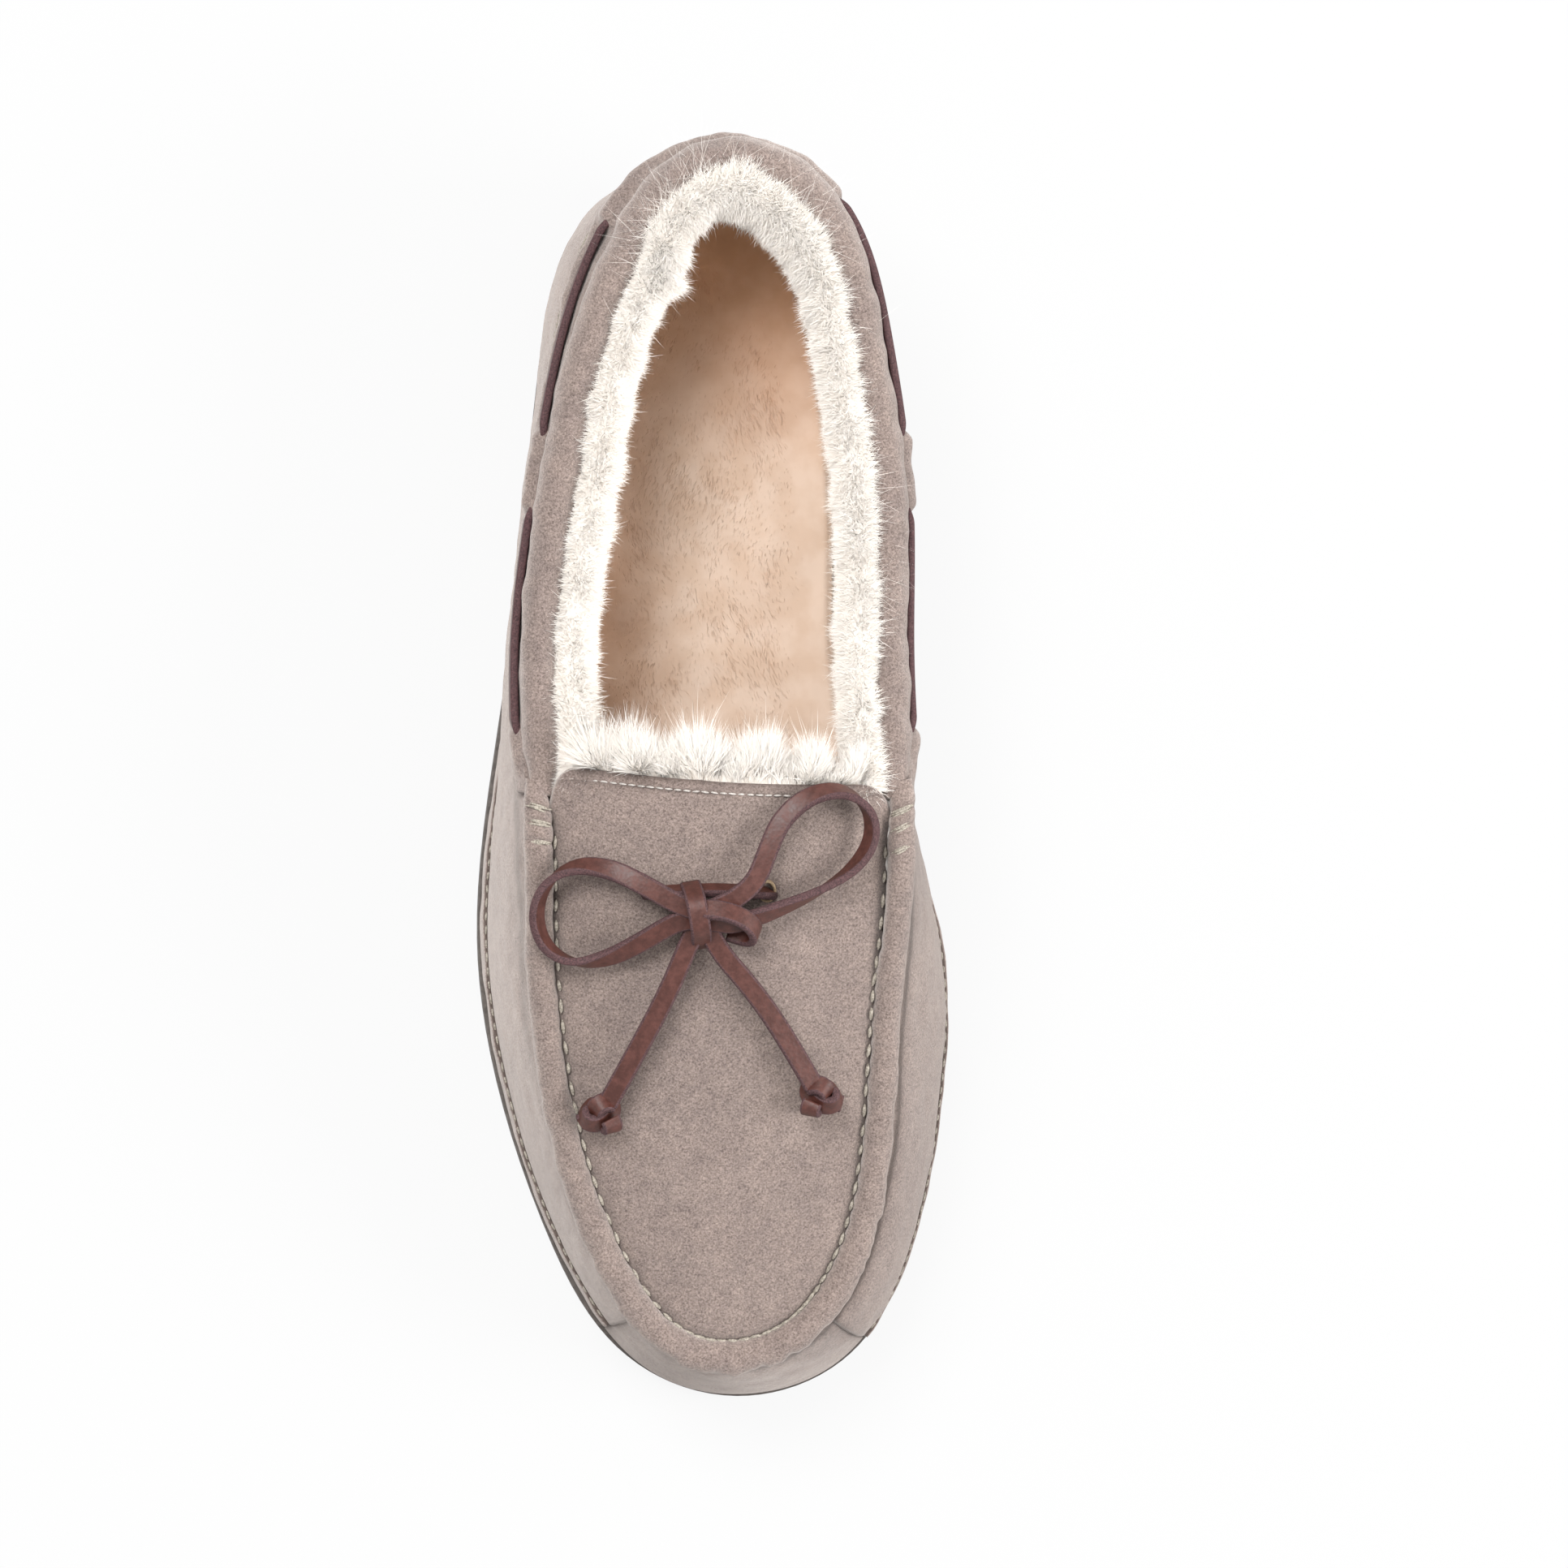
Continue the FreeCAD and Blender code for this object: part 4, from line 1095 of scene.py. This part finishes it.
def end_knot(name, body, line, flip):
    """An overhand knot pulled tight: a trefoil line, flattened, with a stub of lace beyond it."""
    end = line[-1]
    heading = unit(line[-1] - line[-6])
    up_way = plug_normal(end[None])[0]
    side = np.cross(heading, up_way)
    t = np.linspace(0.35, 2 * np.pi - 0.35, 90)
    trefoil = np.stack([np.sin(t) + 2 * np.sin(2 * t), np.cos(t) - 2 * np.cos(2 * t),
                        -np.sin(3 * t)], -1) * [1.2 * flip, 1.05, 1.25]
    middle = end + heading * 3.0
    points = (middle + trefoil[:, :1] * side + trefoil[:, 1:2] * heading + trefoil[:, 2:] * up_way)
    outward = unit(points - middle + up_way * 2.2)
    coil = ribbon(name + "_coil", points, outward, scale=0.98)
    stub_way = unit(heading + side * 0.8 * flip)
    stub = middle + stub_way * np.linspace(0.5, 4.9, 20)[:, None] - up_way * 0.8
    tip = ribbon(name + "_stub", stub, up_way, 25, 0.85)
    return attach(join(name + "_lace", [coil, tip]), body, [name])


end_knots = {
    "tail_lateral": end_knot("tail_knot_lateral", "lateral_tail", bow_lines["tail_lateral"], 1),
    "tail_medial": end_knot("tail_knot_medial", "medial_tail", bow_lines["tail_medial"], -1),
}
for name, (_, _, _, far_end, _) in BOW.items():
    line = bow_lines[name] * MM
    length = float(np.linalg.norm(np.diff(line, axis=0), axis=1).sum())

# %% [markdown]
# The two lace holes are punched through the suede, and their raw edge shows paler than the nap.

# %% Lace holes
HOLE_RADIUS = 1.75
RIM_RADIUS = 0.34
turn = np.linspace(0, 2 * np.pi, 40, endpoint=False)
tube = np.linspace(0, 2 * np.pi, 10, endpoint=False)
turn, tube = np.meshgrid(turn, tube, indexing="ij")
radius = HOLE_RADIUS + RIM_RADIUS * np.cos(tube)
for name, centre in zip(("medial", "lateral"), HOLES):
    x = centre[0] + radius * np.cos(turn) * 0.9
    y = centre[1] + radius * np.sin(turn) * 1.1
    z = plug_height(x, y) - 0.45 + RIM_RADIUS * np.sin(tube)
    rim = make_mesh(f"lace_hole_rim_{name}", np.stack([x, y, z], -1).reshape(-1, 3),
                    grid_quads(40, 10, True, True), material=raw_hide)
    attach(weld(rim))

# %% [markdown]
# ## Wool
# Shearling is made as fibres: each is a thin tapering blade of three short lengths. A hair system
# would be quicker to set up, but its strands aren't a mesh, and the meshes here are a result in
# their own right. Fibres are gathered into clumps, because wool that stands evenly looks like a brush.


# %% Fibres
def fibres(name, roots, ways, lengths, width, normals, curl=0.25, droop=(0, 0, 0), material=wool,
           slot="wool", **attributes):
    """Blades of seven points: two at the root, two at a third, two at two thirds, one at the tip.
    The middle line leaves along its way and bends by a random curl and by the droop. Every blade
    shades with the normal of the coat it grows from, so a coat of thin blades looks soft and full."""
    count = len(roots)
    bend = CHAOS.normal(size=(count, 3)) * curl + np.asarray(droop)
    s = np.array([0, 0.36, 0.72, 1.0])[None, :, None]
    length = np.asarray(lengths)[:, None, None]
    line = roots[:, None] + length * (s * ways[:, None] + s ** 2 * bend[:, None])
    side = unit(np.cross(ways, CHAOS.normal(size=(count, 3))))
    facing = np.sign((np.cross(side, ways) * normals).sum(-1, keepdims=True) + 1e-9)
    side = (side * facing)[:, None]
    half = np.array([1.0, 0.85, 0.55])[None, :, None] * width / 2
    left = line[:, :3] - side * half
    right = line[:, :3] + side * half
    points = np.concatenate([np.stack([left, right], 2).reshape(count, 6, 3), line[:, 3:]], 1)
    base = np.arange(count)[:, None] * 7
    quads = np.concatenate([base + np.array([0, 1, 3, 2]), base + np.array([2, 3, 5, 4])])
    tris = base + np.array([4, 5, 6])
    tip = np.broadcast_to(np.array([0, 0, 0.36, 0.36, 0.72, 0.72, 1.0]), (count, 7))
    attributes["strand"] = np.clip(0.4 + 0.3 * unevenness(roots, 1.1, count)
                                   + 0.35 * CHAOS.normal(size=count), 0, 1)
    each = {label: np.repeat(values, 7) for label, values in attributes.items()}
    piece = make_mesh(name, points.reshape(-1, 3), quads, tris, material, tip=tip, **each)
    spread = unit(normals + 0.35 * ways + 0.12 * CHAOS.normal(size=(count, 3)))
    piece.data.normals_split_custom_set_from_vertices(np.repeat(spread, 7, axis=0))
    attach(piece)


def clumped(ways, anchors, seed, wavelength, strength):
    """Leans neighbouring fibres the same way: three slow random fields added to their ways."""
    lean = np.stack([unevenness(anchors, wavelength, seed + k) for k in range(3)], -1)
    return unit(ways + lean * strength)


# %% Collar wool
FIBRE_WIDTH = 0.115
WOOL_RANGE = (-0.243, 0.243)
PART_FIBRES = 31000
HEEL_START = 0.28


def medial(u):
    """1 along the big-toe side of the collar, 0 along the other."""
    return smooth(0.01, 0.08, u)


def roll_turn(b):
    """Angle round the roll, from a little below its outer side to well below its inner side."""
    return np.pi * mix(-0.1, 1.16, b)


def wool_roll(u, b):
    """The wool's body inside the collar: a half round whose inner side hangs lower."""
    turn = roll_turn(b)
    fullness = 1 + 0.05 * np.sin(2 * np.pi * u * 23) + 0.04 * np.sin(2 * np.pi * u * 51)
    ends = smooth(0, 0.02, WOOL_RANGE[1] - np.abs(u))
    at_heel = np.exp(-(u / 0.035) ** 2)
    flank = np.exp(-((np.abs(u) - 0.04) / 0.025) ** 2)
    corner = np.exp(-((u + 0.023) / 0.014) ** 2)
    half = 3.7 + 1.7 * at_heel + 0.9 * flank + 0.8 * corner
    outwards = (-8.3 + 1.0 * medial(u) + 1.9 * at_heel - 0.9 * flank - 1.3 * corner
                + half * np.cos(turn))
    arched = 5.2 * np.sin(turn) * fullness * mix(0.7, 1, ends)
    up_by = mix(-1.7, -1.0, medial(u)) + 0.7 * at_heel + arched - 3.0 * smooth(0.75, 1, b)
    return top_edge(u, outwards, up_by)


u, b = np.meshgrid(np.linspace(*WOOL_RANGE, 420), np.linspace(0, 1, 26), indexing="ij")
roll_body = wool_roll(u, b)
attach(panel("collar_wool_body", roll_body, roll_body - 3.0 * UP, wool, tip=0.9),
       replaces=["collar_wool"])


def collar_fibres(name, u_range, seed):
    """A stretch of the roll's coat. It flows away from the roll's crest to both sides, and at the
    heel it starts higher, so that it lies over the cuff and not in it."""
    count = PART_FIBRES
    u = CHAOS.uniform(*u_range, count)
    at_heel = np.exp(-(u / 0.03) ** 2)
    b = mix(HEEL_START * at_heel, 1, CHAOS.beta(1.0, 1.1, count))
    roots = wool_roll(u, b)
    outward = away(u)
    turn = roll_turn(b)[:, None]
    normal = unit(outward * np.cos(turn) + UP * np.sin(turn))
    flow = outward * mix(0.9, -0.9, b)[:, None]
    ways = unit(0.48 * normal + 0.9 * flow + 0.22 * CHAOS.normal(size=(count, 3)))
    ways = clumped(ways, roots, seed, 5.0, 0.14)
    inner = smooth(0.55, 0.95, b)
    outer = smooth(0.3, 0.0, b - HEEL_START * at_heel)
    lengths = CHAOS.uniform(2.0, 3.6, count) * (1 + 0.22 * unevenness(roots, 6, seed + 9))
    lengths *= mix(1.0, 0.6, inner) * mix(1.0, 0.62, outer)
    frayed = 0.3 * at_heel + 0.5 * np.exp(-((u - 0.165) / 0.015) ** 2)
    lengths *= 1 + frayed * outer + 0.4 * (CHAOS.uniform(size=count) > 0.96)
    fibres(name, roots - normal * 0.4, ways, lengths, FIBRE_WIDTH, unit(normal + 3.4 * UP),
           curl=0.2, droop=(0, 0, -0.12))


COLLAR_PARTS = np.linspace(*WOOL_RANGE, 6)
for number, (start, end) in enumerate(zip(COLLAR_PARTS, COLLAR_PARTS[1:]), start=1):
    collar_fibres(f"collar_fibres_{number}", (start, end), 60 + number)

# %% [markdown]
# Long thin strands stray over the cuff, most of them beside the heel.

# %% Stray strands
u = np.concatenate([CHAOS.normal(-0.028, 0.015, 1400), CHAOS.normal(0.035, 0.018, 500),
                    CHAOS.normal(0.165, 0.014, 300), CHAOS.uniform(-0.2, 0.2, 200)])
roots = wool_roll(u, CHAOS.uniform(0.24, 0.46, len(u)))
outward = away(u)
ways = unit(outward + 0.62 * UP + 0.35 * CHAOS.normal(size=(len(u), 3)))
ways = clumped(ways, roots, 75, 3.0, 0.5)
fibres("stray_strands", roots, ways, CHAOS.uniform(2.2, 5.4, len(u)), 0.06,
       unit(outward + 4.5 * UP), curl=0.75, droop=(0, 0, -0.3))

# %% [markdown]
# Along the tongue's edge the pile is cut longer and stands up in tufts that lean towards the heel.

# %% Tongue wool
def tongue_line(t):
    """The tongue's edge, from the lateral corner to the medial one."""
    x = mix(-27.5, 25.0, t)
    y = mix(TONGUE_CORNERS[1][1], TONGUE_CORNERS[0][1], t) - 1.1 * np.sin(np.pi * t)
    return np.stack([x, y, plug_height(x, y)], -1)


t, b = np.meshgrid(np.linspace(0, 1, 120), np.linspace(0, 1, 12), indexing="ij")
tongue_body = tongue_line(t)
tongue_body[..., 1] += 0.2 + 2.4 * np.sin(np.pi * b)
tongue_body[..., 2] += mix(-1.3, -8.0, b)
tongue_back = tongue_body - np.array([0, 2.6, 0.6])
attach(panel("tongue_wool_body", tongue_body, tongue_back, wool, tip=0.45),
       replaces=["tongue_wool"])

count = 29000
t = CHAOS.uniform(0, 1, count)
roots = tongue_line(t)
drop = CHAOS.beta(0.7, 2.2, count)
roots[:, 1] += 2.6 * np.sin(np.pi * 0.5 * drop) - 0.2
roots[:, 2] += mix(-0.7, -7.0, drop)
ways = unit(np.stack([0.25 * CHAOS.normal(size=count), mix(0.55, 0.9, drop),
                      mix(0.9, -0.1, drop)], -1))
ways = clumped(ways, roots * [1, 0.2, 0.2], 91, 6.0, 0.4)
ways[:, 1] = np.abs(ways[:, 1]) + 0.15
tuft = 1 + 0.35 * unevenness(roots * [1, 0.1, 0.1], 6, 96)
lengths = CHAOS.uniform(4.0, 7.5, count) * np.clip(tuft, 0.55, 1.7)
normals = unit(np.stack([0.25 * CHAOS.normal(size=count), mix(0.3, 0.8, drop), np.ones(count)], -1))
fibres("tongue_fibres", roots, ways, lengths, FIBRE_WIDTH * 1.15, normals, curl=0.18,
       droop=(0, 0.1, -0.15))

# %% [markdown]
# ## Lining and sock
# Inside, the walls are lined with the same shearling, clipped shorter, and the footbed is covered
# with a tan fleece. Both have a body with soft lumps and a coat of short fibres.


# %% Lining walls
def lining_lumps(base, seed):
    """How far the pile stands out or in at each point of the wall's inside."""
    return 0.4 * unevenness(base, 9, seed) + 0.2 * unevenness(base, 3.5, seed + 1)


def lining_panel(name, u_range, v_range, columns, seed):
    u, v = np.meshgrid(np.linspace(*u_range, columns), np.linspace(*v_range, 30), indexing="ij")
    base = wall(u, v, -7.0)
    inner = wall(u, v, -7.3 - lining_lumps(base, seed))
    outer = wall(u, v, -3.0)
    attach(panel(name + "_pile", inner, outer, wool, tip=0.4), replaces=[name])


lining_panel("lining_quarters", (-0.25, 0.25), (0.02, 0.74), 300, 71)
lining_panel("lining_forefoot", (0.251, 0.749), (0.02, 0.62), 240, 74)

for name, (start, end) in {"medial": (0.236, 0.272), "lateral": (0.728, 0.764)}.items():
    u, v = np.meshgrid(np.linspace(start, end, 30), np.linspace(0.5, 0.96, 16), indexing="ij")
    inner = wall(u, v, -5.2 - 0.4 * unevenness(wall(u, v), 4, 75))
    attach(panel(f"lining_corner_{name}", inner, wall(u, v, -1.6), wool, tip=0.3))

count = 28000
u = CHAOS.uniform(-0.25, 0.25, count)
v = CHAOS.uniform(0.02, 0.78, count)
base = wall(u, v, -7.0)
roots = wall(u, v, -7.1 - lining_lumps(base, 71))
inward = unit(wall(u, v, -8.0) - base)
ways = unit(inward * 0.8 - 0.35 * UP + 0.3 * CHAOS.normal(size=(count, 3)))
ways = clumped(ways, roots, 77, 5.0, 0.35)
fibres("lining_fibres", roots, ways, CHAOS.uniform(1.6, 2.8, count), 0.2, unit(inward + 0.5 * UP))

roof_rows = slice(26, -30)
plan = mix(lateral_edge[roof_rows, None, :], medial_edge[roof_rows, None, :],
           np.linspace(0.13, 0.87, 60)[None, :, None])
plan[..., 1] -= 3.0
roof = np.concatenate([plan, plug_height(plan[..., 0], plan[..., 1])[..., None]], -1)
roof_low = roof - 7.0 * UP
roof_low[..., 2] += 0.5 * unevenness(roof, 8, 79)
attach(panel("lining_vamp_pile", roof_low, roof - 1.9 * UP, wool, tip=0.4),
       replaces=["lining_vamp"])

# %% Sock
SOCK_TOP = 18.4
SOCK_BASE = 12.6


def packed_down(points):
    """How much painted shade the fleece gets: most at the heel, some along the outer side, where the
    wool above keeps the light off.
    """
    at_heel = smooth(52, 112, points[:, 1])
    outer_side = 0.6 * smooth(-4, -27, points[:, 0])
    return np.clip(at_heel + outer_side * (1 - at_heel), 0, 1)


u = np.linspace(0, 1, 260, endpoint=False)
rings = np.linspace(0, 1, 46)
sock_inset = 9.2 - 5.0 * np.exp(-((np.mod(u + 0.5, 1) - 0.5) / 0.05) ** 2)
edge_plan, _ = outline(u, sock_inset)
spine = np.stack([np.zeros(len(u)), np.clip(edge_plan[:, 1], -88, 82)], -1)
sock_plan = mix(edge_plan[None], spine[None], rings[:, None, None])
sock_rim = SOCK_TOP - 1.6 * (1 - smooth(0, 0.1, rings)) ** 2
sock_rim = np.broadcast_to(sock_rim[:, None, None], (*sock_plan.shape[:2], 1))
sock_top = np.concatenate([sock_plan, sock_rim], -1)
sock_lumps = 0.4 * unevenness(sock_top, 16, 81) + 0.08 * unevenness(sock_top, 5, 82)
sock_lumps *= smooth(0, 0.2, rings)[:, None]
sock_top[..., 2] += sock_lumps + 0.9 * smooth(0.5, 0, rings)[:, None] - 0.9
sock_low = sock_top.copy()
sock_low[..., 2] = SOCK_BASE
sock_points = np.concatenate([sock_low[:1].reshape(-1, 3), sock_top.reshape(-1, 3)])
sock_quads = grid_quads(len(rings) + 1, len(u), close_columns=True)
under_points = sock_low.reshape(-1, 3)
under_quads = grid_quads(len(rings), len(u), close_columns=True, first=len(sock_points))[:, ::-1]
sock_all = np.concatenate([sock_points, under_points])
sock = make_mesh("insole_fleece_body", sock_all, np.concatenate([sock_quads, under_quads]),
                 material=fleece, tip=np.full(len(sock_all), 0.45), packed=packed_down(sock_all))
attach(weld(sock), replaces=["insole_fleece"])

count = 32000
y = CHAOS.uniform(-40, 108, count)
x = CHAOS.uniform(-29, 27, count)
keep = nearest(np.stack([x, y], -1)[:, None], edge_plan)[:, 0] > 1.0
inside = np.abs(x + 1.5) < np.interp(y, [-40, 30, 80, 100, 110], [32, 27, 25, 17, 6])
x, y = x[keep & inside], y[keep & inside]
roots = np.stack([x, y, np.full(len(x), SOCK_TOP - 1.08)], -1)
roots[:, 2] += 0.4 * unevenness(roots, 16, 81)
swirl = unevenness(roots, 30, 83) * 1.6
ways = unit(np.stack([0.35 * np.sin(swirl), np.full(len(x), -0.9), np.full(len(x), 0.2)], -1)
            + 0.16 * CHAOS.normal(size=(len(x), 3)))
ways = clumped(ways, roots, 84, 5.0, 0.08)
fibres("insole_fibres", roots, ways, CHAOS.uniform(1.0, 1.6, len(x)), 0.18, UP, curl=0.12,
       material=fleece, slot="sock_fleece", packed=packed_down(roots))

# %% [markdown]
# ## Floor and light
# The slipper lies on a plain white floor under a white sky of soft light. Two large lamps, one
# behind its outer side and one low on its inner side, shape the folds without a hard shadow.

# %% Stage
floor_material = start_material("floor", Base_Color=(0.035, 0.035, 0.035, 1), Roughness=0.9,
                                Emission_Color=(1, 1, 1, 1), Emission_Strength=0.882)[0]
FLOOR_HALF = 4000
corners = np.array([(-1, -1, 0), (1, -1, 0), (1, 1, 0), (-1, 1, 0)], float) * FLOOR_HALF
floor = make_mesh("floor", corners, np.array([[0, 1, 2, 3]]), material=floor_material)
floor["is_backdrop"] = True

world = bpy.data.worlds.new("sky")
world.use_nodes = True
sky = world.node_tree.nodes["Background"]
sky.inputs["Color"].default_value = (1, 1, 1, 1)
sky.inputs["Strength"].default_value = 0.88
bpy.context.scene.world = world


def soft_lamp(name, place, width, power):
    """A square lamp that looks at the slipper's middle."""
    data = bpy.data.lights.new(name, "AREA")
    data.shape = "SQUARE"
    data.size = width
    data.energy = power
    lamp = bpy.data.objects.new(name, data)
    lamp.location = place
    lamp.rotation_euler = (Vector(place)).to_track_quat("Z", "Y").to_euler()
    bpy.context.scene.collection.objects.link(lamp)


soft_lamp("key", (-0.6, 0.75, 1.6), 0.8, 36)
soft_lamp("fill", (1.45, -0.2, 0.95), 0.9, 30)
bpy.context.scene.view_settings.view_transform = "Standard"

# %% Finish
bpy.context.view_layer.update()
meshes = [piece.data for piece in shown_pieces() if piece.type == "MESH"]
print("triangles", sum(len(mesh.loops) - 2 * len(mesh.polygons) for mesh in meshes))
